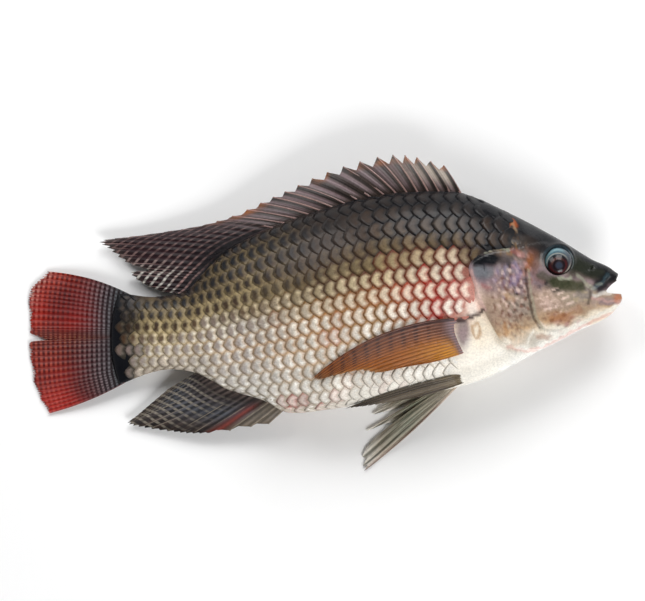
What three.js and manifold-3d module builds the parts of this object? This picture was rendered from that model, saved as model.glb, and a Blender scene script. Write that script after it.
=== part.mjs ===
// A whole raw tilapia, lying on its left side on a flat surface.
// Millimetres. +X points to the head, +Y to the back and +Z up, away from the surface at z = 0.
// The body is one piece, with its mouth, gill slits and eye sockets cut into it.
// The eyes and the seven fins are pieces of their own, set into the body with a small gap.
import * as THREE from "three";
import { mergeVertices } from "three/addons/utils/BufferGeometryUtils.js";
import Module from "manifold-3d";

const wasm = await Module();
wasm.setup();

// ---- Driving dimensions ----
const MEDIAN_HEIGHT = 22; // from the surface to the plane that halves the head and trunk
const TAIL_MEDIAN_HEIGHT = 7.5; // the same at the root of the tail fin, which sags towards the surface
const SAG_FROM_X = 25;
const SAG_TO_X = -100;
const WIDEST_SHARE = 0.45; // how far the widest line lies from the belly to the back
const GAP = 0.4; // between a set-in piece and the body
const BODY_STATIONS = 42;
const BODY_SIDES = 28;
const SNOUT_X = 148.5;
const TAIL_ROOT_X = -100;

// The outline of the body seen from the side, [x, y] from the tail to the head.
const BACK = [
  [-100, 9.8], [-86, 8.2], [-75, 9.2], [-67, 12.5], [-58, 22.5], [-48, 31.5], [-30, 41], [-15, 47.2],
  [4, 53.3], [22, 58], [40, 60.4], [58, 61], [70, 60], [94, 49.7], [118, 37], [134, 27.2], [143, 23],
  [148.5, 18.5],
];
const BELLY = [
  [-100, -35], [-86, -29.6], [-75, -28], [-62, -30.5], [-48, -38], [-30, -43.5], [-18, -49.6], [2, -48.2],
  [30, -43.8], [60, -38.5], [80, -33], [92, -27.5], [106, -19.8], [130, -7.8], [143, -1.5], [148.5, 4.5],
];
// Half the body's thickness, [x, half thickness].
const HALF_WIDTH = [
  [-100, 3.2], [-88, 6.2], [-75, 8], [-55, 11.4], [-35, 15.2], [-10, 19.6], [20, 22.8], [50, 24], [75, 23.6],
  [95, 21.6], [110, 18.4], [125, 13.6], [138, 9.4], [145, 6.8], [148.5, 4.2],
];

// A smooth curve through [x, y] points, given as a function of x.
function profile(points) {
  const slope = points.map((p, i) => {
    const a = points[Math.max(0, i - 1)];
    const b = points[Math.min(points.length - 1, i + 1)];
    return (b[1] - a[1]) / (b[0] - a[0]);
  });
  return (x) => {
    let i = 0;
    while (i < points.length - 2 && x > points[i + 1][0]) i++;
    const span = points[i + 1][0] - points[i][0];
    const s = THREE.MathUtils.clamp((x - points[i][0]) / span, 0, 1);
    const s2 = s * s;
    const s3 = s2 * s;
    return (
      points[i][1] * (2 * s3 - 3 * s2 + 1) +
      slope[i] * span * (s3 - 2 * s2 + s) +
      points[i + 1][1] * (3 * s2 - 2 * s3) +
      slope[i + 1] * span * (s3 - s2)
    );
  };
}

const backAt = profile(BACK);
const bellyAt = profile(BELLY);
const halfWidthAt = profile(HALF_WIDTH);

function medianHeightAt(x) {
  const s = THREE.MathUtils.smoothstep(-x, -SAG_FROM_X, -SAG_TO_X);
  return THREE.MathUtils.lerp(MEDIAN_HEIGHT, TAIL_MEDIAN_HEIGHT, s);
}

function widestLineAt(x) {
  return THREE.MathUtils.lerp(bellyAt(x), backAt(x), WIDEST_SHARE);
}

// The share of the half thickness that is left at a height from the belly (up = -1) to the back (up = 1).
// The section is a full oval, leaner towards the back.
function fullness(up) {
  const side = Math.sqrt(Math.max(0, 1 - up * up));
  return side ** (up > 0 ? 1.12 : 0.86);
}

// The flank's height at a place seen from above: side 1 is the right flank, facing up, and -1 the left.
// Outside the outline it carries on downhill from just inside the edge.
const EDGE_INSET = 2.5;
const EDGE_SLOPE = 1.1;
function flankHeight(x, y, side) {
  const top = backAt(x) - EDGE_INSET;
  const bottom = bellyAt(x) + EDGE_INSET;
  const inside = THREE.MathUtils.clamp(y, bottom, top);
  const middle = widestLineAt(x);
  const reach = inside > middle ? backAt(x) - middle : middle - bellyAt(x);
  const away = Math.abs(y - inside) * EDGE_SLOPE;
  return medianHeightAt(x) + side * (halfWidthAt(x) * fullness((inside - middle) / reach) - away);
}

// ---- Solids ----
function toManifold(geometry) {
  const bare = new THREE.BufferGeometry();
  bare.setAttribute("position", geometry.getAttribute("position"));
  bare.setIndex(geometry.getIndex());
  const merged = mergeVertices(bare, 1e-4);
  const mesh = new wasm.Mesh({
    numProp: 3,
    vertProperties: merged.attributes.position.array,
    triVerts: new Uint32Array(merged.index.array),
  });
  return new wasm.Manifold(mesh);
}

function toGeometry(manifold) {
  const mesh = manifold.getMesh();
  const geometry = new THREE.BufferGeometry();
  geometry.setAttribute("position", new THREE.BufferAttribute(mesh.vertProperties, 3));
  geometry.setIndex(new THREE.BufferAttribute(mesh.triVerts, 1));
  return geometry.toNonIndexed();
}

function place(geometry, position, turnX = 0) {
  return geometry.rotateX(turnX).translate(...position);
}

// A closed tube through rings of one even length, whose second half runs back along the first.
// So each end is closed by a ladder from one half to the other.
function loft(rings) {
  const sides = rings[0].length;
  const last = (rings.length - 1) * sides;
  const indices = [];
  for (let start = 0; start < last; start += sides) {
    for (let i = 0; i < sides; i++) {
      const a = start + i;
      const b = start + ((i + 1) % sides);
      indices.push(a, b, a + sides, b, b + sides, a + sides);
    }
  }
  for (let i = 0; i < sides / 2 - 1; i++) {
    const across = sides - 1 - i;
    indices.push(i, across, i + 1, i + 1, across, across - 1);
    indices.push(last + i, last + i + 1, last + across, last + i + 1, last + across - 1, last + across);
  }
  const geometry = new THREE.BufferGeometry();
  geometry.setAttribute("position", new THREE.Float32BufferAttribute(rings.flat(2), 3));
  geometry.setIndex(indices);
  return geometry;
}

// ---- Fins ----
// A fin is a thin fan of rays, from its leading ray to its last: [root x, root y, tip x, tip y, bow].
// bow is how far the ray's middle stands off a straight line, towards the back.
const SPINY_DORSAL = [
  [70, 57.5, 60.5, 74, 0.4], [58.5, 58.5, 46, 78.2, 0.5], [47, 58.5, 33, 79.2, 0.6], [36, 58, 15, 75, 0.8],
  [22.5, 56, -2, 69, 0.8], [10, 52.3, -17, 62, 0.8], [-3, 49, -30, 56, 0.6], [-15.5, 44.8, -45, 49, 0.5],
];
const SOFT_DORSAL = [
  [-27, 39.8, -63, 43.8, 1.2], [-36, 36, -92, 39.2, 1.6], [-43, 32.5, -112, 36.5, 1],
  [-49.5, 27.8, -108, 32.5, 0], [-55, 22.8, -99, 25.5, 0], [-58.5, 19.3, -88.5, 21.6, 0],
  [-61, 16.6, -97, 20.6, 0], [-64.5, 12.6, -91, 15, 0], [-68, 9.6, -81, 10.6, 0],
];

// A paired fin comes out of its seat in the first part of its length and then lies on the flank.
const SEAT_DEPTH = 2.5;
const LYING_HEIGHT = 1.1; // of the fin's middle from the flank
const SEAT_SHARE = 0.13;
function outOfSeat(along) {
  return THREE.MathUtils.lerp(-SEAT_DEPTH, LYING_HEIGHT, Math.min(1, along / SEAT_SHARE));
}

const FINS = {
  dorsal_fin: {
    rays: [...SPINY_DORSAL, ...SOFT_DORSAL],
    steps: 32,
    height: (x, y, along) => medianHeightAt(x) - 3.5 * along * along,
    root: 1.9,
    edge: 0.9,
    color: 0x3c3436,
  },
  tail_fin: {
    rays: [
      [-95, 11, -139.5, 21, 2.4], [-95.5, 4, -148, 12, 1.4], [-96, -2, -149, 4, 0.8],
      [-96.5, -8, -148, -7, 0.3], [-96.5, -10.6, -148, -10.2, 0],
      [-96.5, -11.8, -139.5, -13.8, 0], [-96.5, -13, -148.6, -15, 0],
      [-96.3, -20, -147.8, -24, -0.4], [-96, -26.5, -146, -35.5, -0.8], [-95.5, -32.5, -142.5, -44, -1],
      [-95, -37, -138.5, -50.5, -1.6],
    ],
    steps: 20,
    height: (x, y, along) => THREE.MathUtils.lerp(TAIL_MEDIAN_HEIGHT, 0.65, along ** 0.8),
    root: 2.4,
    edge: 1.1,
    color: 0x8c2f2a,
  },
  anal_fin: {
    rays: [
      [-19, -47.2, -27.5, -55.5, 0], [-22.5, -44.5, -39.5, -57.5, 0], [-27.5, -41.5, -54, -60, 0],
      [-34, -40, -66.5, -60.5, -0.5], [-40, -38.7, -77.5, -59.5, -0.6], [-45.5, -36.8, -90.5, -57.6, -0.6],
      [-50.5, -34, -98.5, -55.5, -0.5], [-54.5, -31.2, -94.5, -52, -0.3], [-58, -29, -88, -46.5, 0],
      [-61, -28, -79, -39, 0],
    ],
    steps: 14,
    height: (x, y, along) => medianHeightAt(x) - 5 * along,
    root: 2,
    edge: 0.9,
    color: 0x4c5258,
  },
  pectoral_fin_right: {
    rays: [
      [71.5, -2, -6, -33, 8], [71.5, -5, -2.5, -33.5, 5.5], [71.6, -8.5, 4, -31.5, 3.4],
      [71.8, -12, 17.5, -28.5, 1.6], [72, -15, 27.5, -29.5, 0], [72.2, -18.5, 38.5, -26.5, -1.2],
    ],
    steps: 10,
    height: (x, y, along) => flankHeight(x, y, 1) + outOfSeat(along),
    root: 1.8,
    edge: 0.8,
    color: 0xb0561c,
  },
  pectoral_fin_left: {
    rays: [
      [71.5, -4, -2, -36, 5], [71.5, -7, 2, -36.5, 3.5], [71.6, -10, 8, -35, 2], [71.8, -13, 20, -33, 0.8],
      [72, -16, 30, -34, -0.5], [72.2, -19.5, 41, -31, -1.5],
    ],
    steps: 14,
    height: (x, y, along) => flankHeight(x, y, -1) - outOfSeat(along),
    root: 1.8,
    edge: 0.8,
    color: 0xb0561c,
  },
  pelvic_fin_right: {
    rays: [
      [72.5, -29.6, 11, -47.6, 1.6], [72, -31, 19, -46.6, 1], [71.5, -32.4, 29, -45.2, 0],
      [71, -33.8, 38, -43.4, -1],
    ],
    steps: 8,
    height: (x, y, along) => flankHeight(x, y, 1) + outOfSeat(along),
    root: 1.8,
    edge: 0.8,
    color: 0x54483a,
  },
  pelvic_fin_left: {
    rays: [
      [66, -31, 27.5, -47.5, 0], [66.3, -31.6, 25.5, -51.2, 0], [66.6, -32.2, 40, -47.8, 0],
      [66.9, -32.8, 21.5, -59.3, 0], [67.2, -33.4, 34.5, -55.5, 0], [67.5, -34, 21, -68, 1.5],
      [67.8, -34.6, 19.8, -76, 0.6], [68.1, -35.2, 20.6, -79.6, -1.6],
    ],
    steps: 14,
    height: (x, y, along) => THREE.MathUtils.lerp(15.5, 0.65, Math.min(1, along * 1.25) ** 0.75),
    root: 1.8,
    edge: 0.9,
    color: 0x7c7d70,
  },
};
const FIN_ROWS = 4;

// The key rays made into a smooth fan: t goes from the first ray to the last, and along from root to tip.
function fan(rays) {
  const columns = [0, 1, 2, 3, 4].map((k) => profile(rays.map((ray, i) => [i / (rays.length - 1), ray[k]])));
  return (t, along) => {
    const [rootX, rootY, tipX, tipY, bow] = columns.map((column) => column(t));
    const run = new THREE.Vector2(tipX - rootX, tipY - rootY);
    const side = new THREE.Vector2(run.y, -run.x).normalize();
    const off = 4 * bow * along * (1 - along);
    return [rootX + run.x * along + side.x * off, rootY + run.y * along + side.y * off];
  };
}

// The fin's solid, or with grow the larger solid that cuts its seat in the body.
function finGeometry({ rays, steps, height, root, edge }, grow = 0) {
  const at = fan(rays);
  const [first, last, tip] = [at(0, 0), at(1, 0), at(0.5, 1)];
  const spread = Math.hypot(last[0] - first[0], last[1] - first[1]);
  const reach = Math.hypot(tip[0] - first[0], tip[1] - first[1]);
  const rings = shares(steps, grow / spread).map((t) => {
    const upper = [];
    const lower = [];
    for (const along of shares(FIN_ROWS, grow / reach)) {
      const [x, y] = beyond(at, t, along);
      const inside = THREE.MathUtils.clamp(along, 0, 1);
      const half = THREE.MathUtils.lerp(root, edge, inside) / 2;
      const middle = Math.max(half, height(x, y, inside));
      upper.push([x, y, middle + half + grow]);
      lower.unshift([x, y, middle - half - grow]);
    }
    return [...upper, ...lower];
  });
  return loft(rings);
}

// Even shares from 0 to 1, with one more on each side where a margin is asked for.
function shares(count, margin) {
  const even = Array.from({ length: count + 1 }, (_, i) => i / count);
  return margin > 0 ? [-margin, ...even, 1 + margin] : even;
}

// A place in a fan, where one before its first ray or past its last is reached in a straight line.
function beyond(at, t, along) {
  const inside = THREE.MathUtils.clamp(t, 0, 1);
  const near = at(inside, along);
  if (inside === t) return near;
  const step = 0.02;
  const next = at(inside + (t < 0 ? step : -step), along);
  const times = Math.abs(t - inside) / step;
  return [near[0] + (near[0] - next[0]) * times, near[1] + (near[1] - next[1]) * times];
}

// A fan may run either way round, and a solid's faces point out.
function facingOut(geometry) {
  const solid = toManifold(geometry);
  if (solid.volume() > 0) return solid;
  const index = geometry.getIndex();
  for (let i = 0; i < index.count; i += 3) {
    const second = index.getX(i + 1);
    index.setX(i + 1, index.getX(i + 2));
    index.setX(i + 2, second);
  }
  return toManifold(geometry);
}

// ---- Eyes ----
const EYE_PLACE = [117.5, 26.2];
const EYE_RADIUS = 7.2;
const EYE_DEPTH = 4.8; // half the eyeball's thickness
const EYE_LIFT = -2.4; // of its centre from the skin
const EYE_TILT = 0.42; // radians, leaning towards the back
function eyeGeometry(side, grow = 0) {
  const ball = new THREE.SphereGeometry(1, 20, 12).rotateX(Math.PI / 2);
  ball.scale(EYE_RADIUS + grow, EYE_RADIUS + grow, EYE_DEPTH + grow);
  const height = flankHeight(...EYE_PLACE, side) + side * EYE_LIFT;
  return place(ball, [...EYE_PLACE, height], -side * EYE_TILT);
}

// ---- Body ----
function bodyRing(x) {
  const ring = [];
  const middle = widestLineAt(x);
  for (let i = 0; i < BODY_SIDES; i++) {
    const angle = (2 * Math.PI * i) / BODY_SIDES;
    const up = Math.cos(angle);
    const y = middle + up * (up > 0 ? backAt(x) - middle : middle - bellyAt(x));
    const z = medianHeightAt(x) + Math.sign(Math.sin(angle)) * halfWidthAt(x) * fullness(up);
    ring.push([x, y, z]);
  }
  return ring;
}

// Stations lie closer together towards the snout and the tail root.
function stationX(i) {
  const s = i / BODY_STATIONS;
  const eased = s - 0.1 * Math.sin(2 * Math.PI * s);
  return THREE.MathUtils.lerp(TAIL_ROOT_X, SNOUT_X, eased);
}

function prism(outline, low, high) {
  const shape = new THREE.Shape(outline.map(([x, y]) => new THREE.Vector2(x, y)));
  const geometry = new THREE.ExtrudeGeometry(shape, { depth: high - low, bevelEnabled: false });
  return facingOut(geometry.translate(0, 0, low));
}

// The mouth stands open: a notch between the lips, and a narrower hollow behind it.
const MOUTH_NOTCH = [[156, 19.5], [141, 11.6], [156, 8.6]];
const MOUTH_HOLLOW = [[145, 13.6], [124, 13], [124, 8.4], [145, 10.2]];
const MOUTH_HALF_WIDTH = 4.5;
const PAST_BODY = 40; // beyond the body's own thickness on either side
function mouthSolids() {
  const middle = MEDIAN_HEIGHT;
  return [
    prism(MOUTH_NOTCH, middle - PAST_BODY, middle + PAST_BODY),
    prism(MOUTH_HOLLOW, middle - MOUTH_HALF_WIDTH, middle + MOUTH_HALF_WIDTH),
  ];
}

// The gill slit runs behind the gill cover's free edge, on both flanks.
const GILL_EDGE = [[73, 24.5], [71.6, 21.5], [75.5, 12], [78.5, 2], [83, -5.5], [89, -12.5], [97, -17.2]];
const GILL_SLIT_WIDTH = 1;
const GILL_SLIT_FLOOR = 12; // height above and below the median plane where the slit ends
function gillSlits() {
  const edge = new THREE.SplineCurve(GILL_EDGE.map(([x, y]) => new THREE.Vector2(x, y))).getPoints(10);
  const behind = edge.map((p) => [p.x - GILL_SLIT_WIDTH, p.y - 0.4 * GILL_SLIT_WIDTH]).reverse();
  const outline = [...edge.map((p) => [p.x, p.y]), ...behind];
  return [
    prism(outline, MEDIAN_HEIGHT + GILL_SLIT_FLOOR, MEDIAN_HEIGHT + PAST_BODY),
    prism(outline, MEDIAN_HEIGHT - PAST_BODY, MEDIAN_HEIGHT - GILL_SLIT_FLOOR),
  ];
}

// The surface flattens the flank that rests on it.
function belowSurface() {
  return toManifold(new THREE.BoxGeometry(400, 300, 60).translate(0, 0, -30));
}

function bodySolid() {
  const rings = Array.from({ length: BODY_STATIONS + 1 }, (_, i) => bodyRing(stationX(i)));
  const cutters = [belowSurface(), ...mouthSolids(), ...gillSlits()];
  for (const side of [1, -1]) cutters.push(toManifold(eyeGeometry(side, GAP)));
  for (const fin of Object.values(FINS)) cutters.push(facingOut(finGeometry(fin, GAP)));
  return largestPiece(cutters.reduce((body, cutter) => body.subtract(cutter), facingOut(loft(rings))));
}

// A seat cut near the body's edge can leave a loose crumb, which is dropped.
function largestPiece(solid) {
  return solid.decompose().reduce((most, piece) => (piece.volume() > most.volume() ? piece : most));
}

// ---- Assembly ----
function meshOf(name, solid, color, roughness) {
  const material = new THREE.MeshStandardMaterial({ color, roughness, metalness: 0 });
  const mesh = new THREE.Mesh(toGeometry(solid), material);
  mesh.name = name;
  return mesh;
}

const fish = new THREE.Group();
fish.add(meshOf("body", bodySolid(), 0x8f8a78, 0.35));
fish.add(meshOf("eye_right", toManifold(eyeGeometry(1)), 0x1c1a1d, 0.1));
fish.add(meshOf("eye_left", toManifold(eyeGeometry(-1)), 0x1c1a1d, 0.1));
for (const [name, fin] of Object.entries(FINS)) {
  fish.add(meshOf(name, facingOut(finGeometry(fin)), fin.color, 0.45));
}

// The origin lies on the surface, under the middle of the whole fish.
const bounds = new THREE.Box3().setFromObject(fish);
const centre = bounds.getCenter(new THREE.Vector3());
fish.position.set(-centre.x, -centre.y, -bounds.min.z);

export default fish;
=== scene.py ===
"""A whole raw tilapia lying on its left side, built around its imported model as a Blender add-on."""

import math

import bmesh
import bpy
import numpy as np
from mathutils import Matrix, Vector


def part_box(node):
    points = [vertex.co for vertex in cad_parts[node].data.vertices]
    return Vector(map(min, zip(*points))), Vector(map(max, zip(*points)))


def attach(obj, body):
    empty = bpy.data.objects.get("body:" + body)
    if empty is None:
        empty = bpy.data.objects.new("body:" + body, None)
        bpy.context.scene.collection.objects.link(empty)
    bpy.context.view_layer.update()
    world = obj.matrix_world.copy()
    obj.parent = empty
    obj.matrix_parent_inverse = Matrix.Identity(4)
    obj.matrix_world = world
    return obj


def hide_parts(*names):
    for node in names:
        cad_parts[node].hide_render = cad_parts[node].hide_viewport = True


bl_info = {
    "name": "Whole Raw Fish",
    "version": (1, 0, 0),
    "blender": (4, 5, 0),
    "location": "3D View > Sidebar > Fish",
    "description": "Skin, scales, fins and eyes of a whole raw fish, around its packed model",
    "category": "Object",
}

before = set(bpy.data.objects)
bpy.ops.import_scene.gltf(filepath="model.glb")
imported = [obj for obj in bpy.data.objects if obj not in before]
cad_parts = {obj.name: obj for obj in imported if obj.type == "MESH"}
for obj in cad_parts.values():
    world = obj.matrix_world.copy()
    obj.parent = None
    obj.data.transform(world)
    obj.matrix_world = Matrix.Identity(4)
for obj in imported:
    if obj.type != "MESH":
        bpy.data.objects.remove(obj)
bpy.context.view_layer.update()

MM = 0.001
RIGHT, LEFT = 1, -1  # the right flank faces up, and the left one lies on the surface
# The lowest points of each kind of piece, a hair above the surface, in millimetres.
SKIN_FLOOR, SCALE_FLOOR, WEB_FLOOR, RAY_FLOOR = 0.05, 0.02, 0.04, 0.03


# ---- The body's shape, in millimetres, as the model builds it ----

MEDIAN_HEIGHT = 22
TAIL_MEDIAN_HEIGHT = 7.5
SAG_FROM_X, SAG_TO_X = 25, -100
WIDEST_SHARE = 0.45
TAIL_ROOT_X, SNOUT_X = -100, 148.5
TAIL_END_X = -103  # where the flesh thins out between the tail's rays
TAIL_END_BULGE = 4  # by which it reaches further in its middle
TAIL_TAPER = 10  # the length over which it thins out

BACK = [
    (-100, 9.8), (-86, 8.2), (-75, 9.2), (-67, 12.5), (-58, 22.5), (-48, 31.5), (-30, 41), (-15, 47.2),
    (4, 53.3), (22, 58), (40, 60.4), (58, 61), (70, 60), (94, 49.7), (118, 37), (134, 27.2), (143, 23),
    (148.5, 18.5),
]
BELLY = [
    (-100, -35), (-86, -29.6), (-75, -28), (-62, -30.5), (-48, -38), (-30, -43.5), (-18, -49.6),
    (2, -48.2), (30, -43.8), (60, -38.5), (80, -33), (92, -27.5), (106, -19.8), (130, -7.8), (143, -1.5),
    (148.5, 4.5),
]
HALF_WIDTH = [
    (-100, 3.2), (-88, 6.2), (-75, 8), (-55, 11.4), (-35, 15.2), (-10, 19.6), (20, 22.8), (50, 24),
    (75, 23.6), (95, 21.6), (110, 18.4), (125, 13.6), (138, 9.4), (145, 6.8), (148.5, 4.2),
]


def smooth(points):
    """A smooth curve through (x, y) points, as a function of x."""
    xs, ys = np.array(points, float).T
    slope = np.gradient(ys, xs)
    slope[1:-1] = (ys[2:] - ys[:-2]) / (xs[2:] - xs[:-2])

    def at(x):
        x = np.asarray(x, float)
        i = np.clip(np.searchsorted(xs, x, side="right") - 1, 0, len(xs) - 2)
        span = xs[i + 1] - xs[i]
        s = np.clip((x - xs[i]) / span, 0, 1)
        rise = 3 * s**2 - 2 * s**3
        start, end = s**3 - 2 * s**2 + s, s**3 - s**2
        return ys[i] * (1 - rise) + ys[i + 1] * rise + span * (slope[i] * start + slope[i + 1] * end)

    return at


def ease(value, low, high):
    """0 below low and 1 above high, with a soft step between them."""
    s = np.clip((np.asarray(value, float) - low) / (high - low), 0, 1)
    return s * s * (3 - 2 * s)


def lerp(a, b, share):
    return a + (b - a) * share


def bump(value, centre, reach):
    """1 at the centre, and down to nothing a few reaches away from it."""
    return np.exp(-(((value - centre) / reach) ** 2))


back_at, belly_at, half_width_at = smooth(BACK), smooth(BELLY), smooth(HALF_WIDTH)


def median_height(x):
    return lerp(MEDIAN_HEIGHT, TAIL_MEDIAN_HEIGHT, ease(-np.asarray(x, float), -SAG_FROM_X, -SAG_TO_X))


def widest_line(x):
    return lerp(belly_at(x), back_at(x), WIDEST_SHARE)


def fullness(up):
    """The share of the half thickness left at a height from the belly (-1) to the back (1)."""
    side = np.sqrt(np.clip(1 - np.asarray(up, float) ** 2, 0, 1))
    return side ** np.where(np.asarray(up) > 0, 1.12, 0.86)


def flank_height(x, y, side, inset=2.5, slope=1.1):
    """The flank's height at a place seen from above, and downhill beyond the outline."""
    inside = np.clip(y, belly_at(x) + inset, back_at(x) - inset)
    middle = widest_line(x)
    reach = np.where(inside > middle, back_at(x) - middle, middle - belly_at(x))
    away = np.abs(y - inside) * slope
    return median_height(x) + side * (half_width_at(x) * fullness((inside - middle) / reach) - away)


def frame_shift():
    """From the drawing's origin to the frame's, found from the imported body's box."""
    low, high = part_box("body")
    belly = belly_at(np.linspace(TAIL_ROOT_X, SNOUT_X, 400)).min()
    return Vector((high.x - SNOUT_X * MM, low.y - belly * MM, 0))


SHIFT = frame_shift()


# ---- Small tools ----


def colour(hex_code):
    """A colour written as rrggbb, as linear red, green and blue."""
    c = np.array([int(hex_code[i : i + 2], 16) for i in (0, 2, 4)]) / 255
    return np.where(c <= 0.04045, c / 12.92, ((c + 0.055) / 1.055) ** 2.4)


def apart(places, centre, reach=1):
    """How far places lie from a centre, in reaches."""
    return np.linalg.norm((places - np.asarray(centre)) / reach, axis=1)


def ripple(xy, size, seed):
    """Soft noise between about -1 and 1 over a plane, with lumps about size across."""
    random = np.random.default_rng(seed)
    total = np.zeros(len(xy))
    for _ in range(7):
        angle, phase = random.uniform(0, 2 * math.pi, 2)
        wave = 2 * math.pi / (size * random.uniform(1.4, 3.4))
        total += np.sin(wave * (xy[:, 0] * math.cos(angle) + xy[:, 1] * math.sin(angle)) + phase)
    return total / 2.6


def shaken(xy, by, size, seed):
    """Places moved about a little."""
    return xy + by * np.stack([ripple(xy, size, seed), ripple(xy, size, seed + 1)], axis=1)


def path_distance(points, xy):
    """How far places lie from a path, and the signed distance: positive on its left."""
    best = np.full(len(xy), np.inf)
    signed = np.zeros(len(xy))
    points = np.array(points, float)
    if len(points) == 1:
        best = np.linalg.norm(xy - points[0], axis=1)
        return best, best
    for a, b in zip(points[:-1], points[1:]):
        run = b - a
        s = np.clip(((xy - a) @ run) / (run @ run), 0, 1)
        away = xy - (a + s[:, None] * run)
        distance = np.linalg.norm(away, axis=1)
        turn = run[0] * (xy[:, 1] - a[1]) - run[1] * (xy[:, 0] - a[0])
        closer = distance < best - 1e-9
        best = np.where(closer, distance, best)
        signed = np.where(closer, np.sign(turn) * distance, signed)
    return best, signed


def finer(points, steps=6):
    """A smoother path through given points, along which distance is measured."""
    points = np.array(points, float)
    t = np.arange(len(points), dtype=float)
    fine = np.linspace(0, len(points) - 1, steps * (len(points) - 1) + 1)
    return np.stack([smooth(list(zip(t, points[:, k])))(fine) for k in (0, 1)], axis=1)


def line_distance(path, xy):
    """How far places lie from a path, smoothed where it bends."""
    return path_distance(path if len(path) < 3 else finer(path), xy)[0]


def mesh_piece(name, points, faces, smooth_faces=True):
    """A new object from points in millimetres of the drawing."""
    mesh = bpy.data.meshes.new(name)
    mesh.from_pydata((np.asarray(points) * MM + np.array(SHIFT)).tolist(), [], faces)
    mesh.validate()
    mesh.polygons.foreach_set("use_smooth", [smooth_faces] * len(mesh.polygons))
    piece = bpy.data.objects.new(name, mesh)
    bpy.context.scene.collection.objects.link(piece)
    return piece


def drawing_points(piece):
    """The points of a piece, back in millimetres of the drawing."""
    co = np.empty(len(piece.data.vertices) * 3)
    piece.data.vertices.foreach_get("co", co)
    return (co.reshape(-1, 3) - np.array(SHIFT)) / MM


def store(piece, name, values):
    """Keeps a number, a vector or a colour for each point of a piece."""
    values = np.asarray(values, float)
    kind = "FLOAT" if values.ndim == 1 else "FLOAT_COLOR"
    attribute = piece.data.attributes.new(name, kind, "POINT")
    if kind == "FLOAT":
        attribute.data.foreach_set("value", values)
    else:
        full = np.ones((len(values), 4))
        full[:, : values.shape[1]] = values
        attribute.data.foreach_set("color", full.ravel())


def store_map(piece, name, values):
    """A UV map from one pair of numbers for each point."""
    uv = piece.data.uv_layers.new(name=name)
    corner = np.empty(len(piece.data.loops), dtype=int)
    piece.data.loops.foreach_get("vertex_index", corner)
    uv.data.foreach_set("uv", np.asarray(values, float)[corner].ravel())


def grid_faces(rows, columns, wrap=False):
    """Four-sided faces over a grid of points, closed across its columns where wrap is set."""
    faces = []
    for r in range(rows - 1):
        for c in range(columns if wrap else columns - 1):
            d = (c + 1) % columns
            faces.append((r * columns + c, r * columns + d, (r + 1) * columns + d, (r + 1) * columns + c))
    return faces


def face_out(piece, merge=True):
    """Turns every face outwards, after doubles are merged."""
    work = bmesh.new()
    work.from_mesh(piece.data)
    if merge:
        bmesh.ops.remove_doubles(work, verts=work.verts, dist=0.01 * MM)
    bmesh.ops.recalc_face_normals(work, faces=work.faces)
    work.to_mesh(piece.data)
    work.free()


def remove(piece):
    bpy.data.objects.remove(piece)


def finish(piece, slot, *nodes):
    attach(piece, "root")
    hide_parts(*nodes)


# ---- Painting ----

# The fish's colours, by plain names.
TONES = {
    name: colour(code)
    for name, code in {
        "ink": "121317", "soot": "1e1c1e", "bark": "2b211b", "umber": "443a34", "walnut": "4a3422",
        "taupe": "80706a", "olive": "6c5d42", "brass": "9c8a64", "sand": "bda984", "wheat": "d8c6a2",
        "cream": "e8dbc6", "milk": "f1ece1", "white": "f6f4ee", "copper": "86602f", "ochre": "a97a4a",
        "tan": "c09f7c", "stone": "bab09f", "pebble": "9a8d7b", "blush": "ecd0c2", "brick": "98291c",
        "oxblood": "5c2413", "rust": "96582d", "orange": "c2602f", "coral": "d98d80", "dusk": "6b4538",
        "slate": "54565d", "steel": "70757a", "mauve": "8c787c", "lilac": "857aa0", "fawn": "a18a78",
        "moss": "3a3d2a", "lichen": "9fa28d", "mask": "272a20", "petrol": "42606c", "smoke": "8a8078",
        "flesh": "a4605a", "pink": "c9a09a", "blood": "a01a12", "gloom": "4f4542", "plum": "2a1a1e",
        "wine": "4c1617", "garnet": "77241f", "crimson": "b0201b", "scarlet": "d65a48",
        "brickdust": "8e3a30", "peach": "b77c5e", "salmon": "c99387", "gold": "cf8a26", "amber": "a05a20",
        "pupil": "36404e", "teal": "7fa0a6",
    }.items()
}


def ramp(share, stops):
    """Colour that changes with a share through (share, tone) stops."""
    places = [stop[0] for stop in stops]
    tones = np.array([TONES[stop[1]] for stop in stops])
    return np.stack([np.interp(share, places, tones[:, k]) for k in range(3)], axis=1)


def height_share(xy):
    """0 on the belly's outline and 1 on the back's."""
    low, high = belly_at(xy[:, 0]), back_at(xy[:, 0])
    return np.clip((xy[:, 1] - low) / (high - low), 0, 1)


def tint(tones, name, mask):
    return tones + (TONES[name] - tones) * np.asarray(mask)[:, None]


def patch(tones, xy, name, strength, centre, reach):
    """Lays a soft oval of colour over tones."""
    away = apart(xy, centre, reach)
    return tint(tones, name, strength * (1 - ease(away, 0.35, 1.3)))


def stroke(tones, xy, name, width, strength, path):
    """Lays one stroke of colour over tones, with a soft edge."""
    return tint(tones, name, strength * (1 - ease(line_distance(path, xy), width * 0.35, width)))


# The head is dark on its crown and white under its throat: (share of its height, tone).
HEAD_RAMP = [
    (0, "white"), (0.1, "milk"), (0.17, "cream"), (0.24, "tan"), (0.34, "fawn"), (0.45, "fawn"),
    (0.54, "mauve"), (0.64, "mauve"), (0.7, "taupe"), (0.76, "umber"), (0.83, "soot"), (0.94, "ink"),
    (1, "soot"),
]

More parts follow.
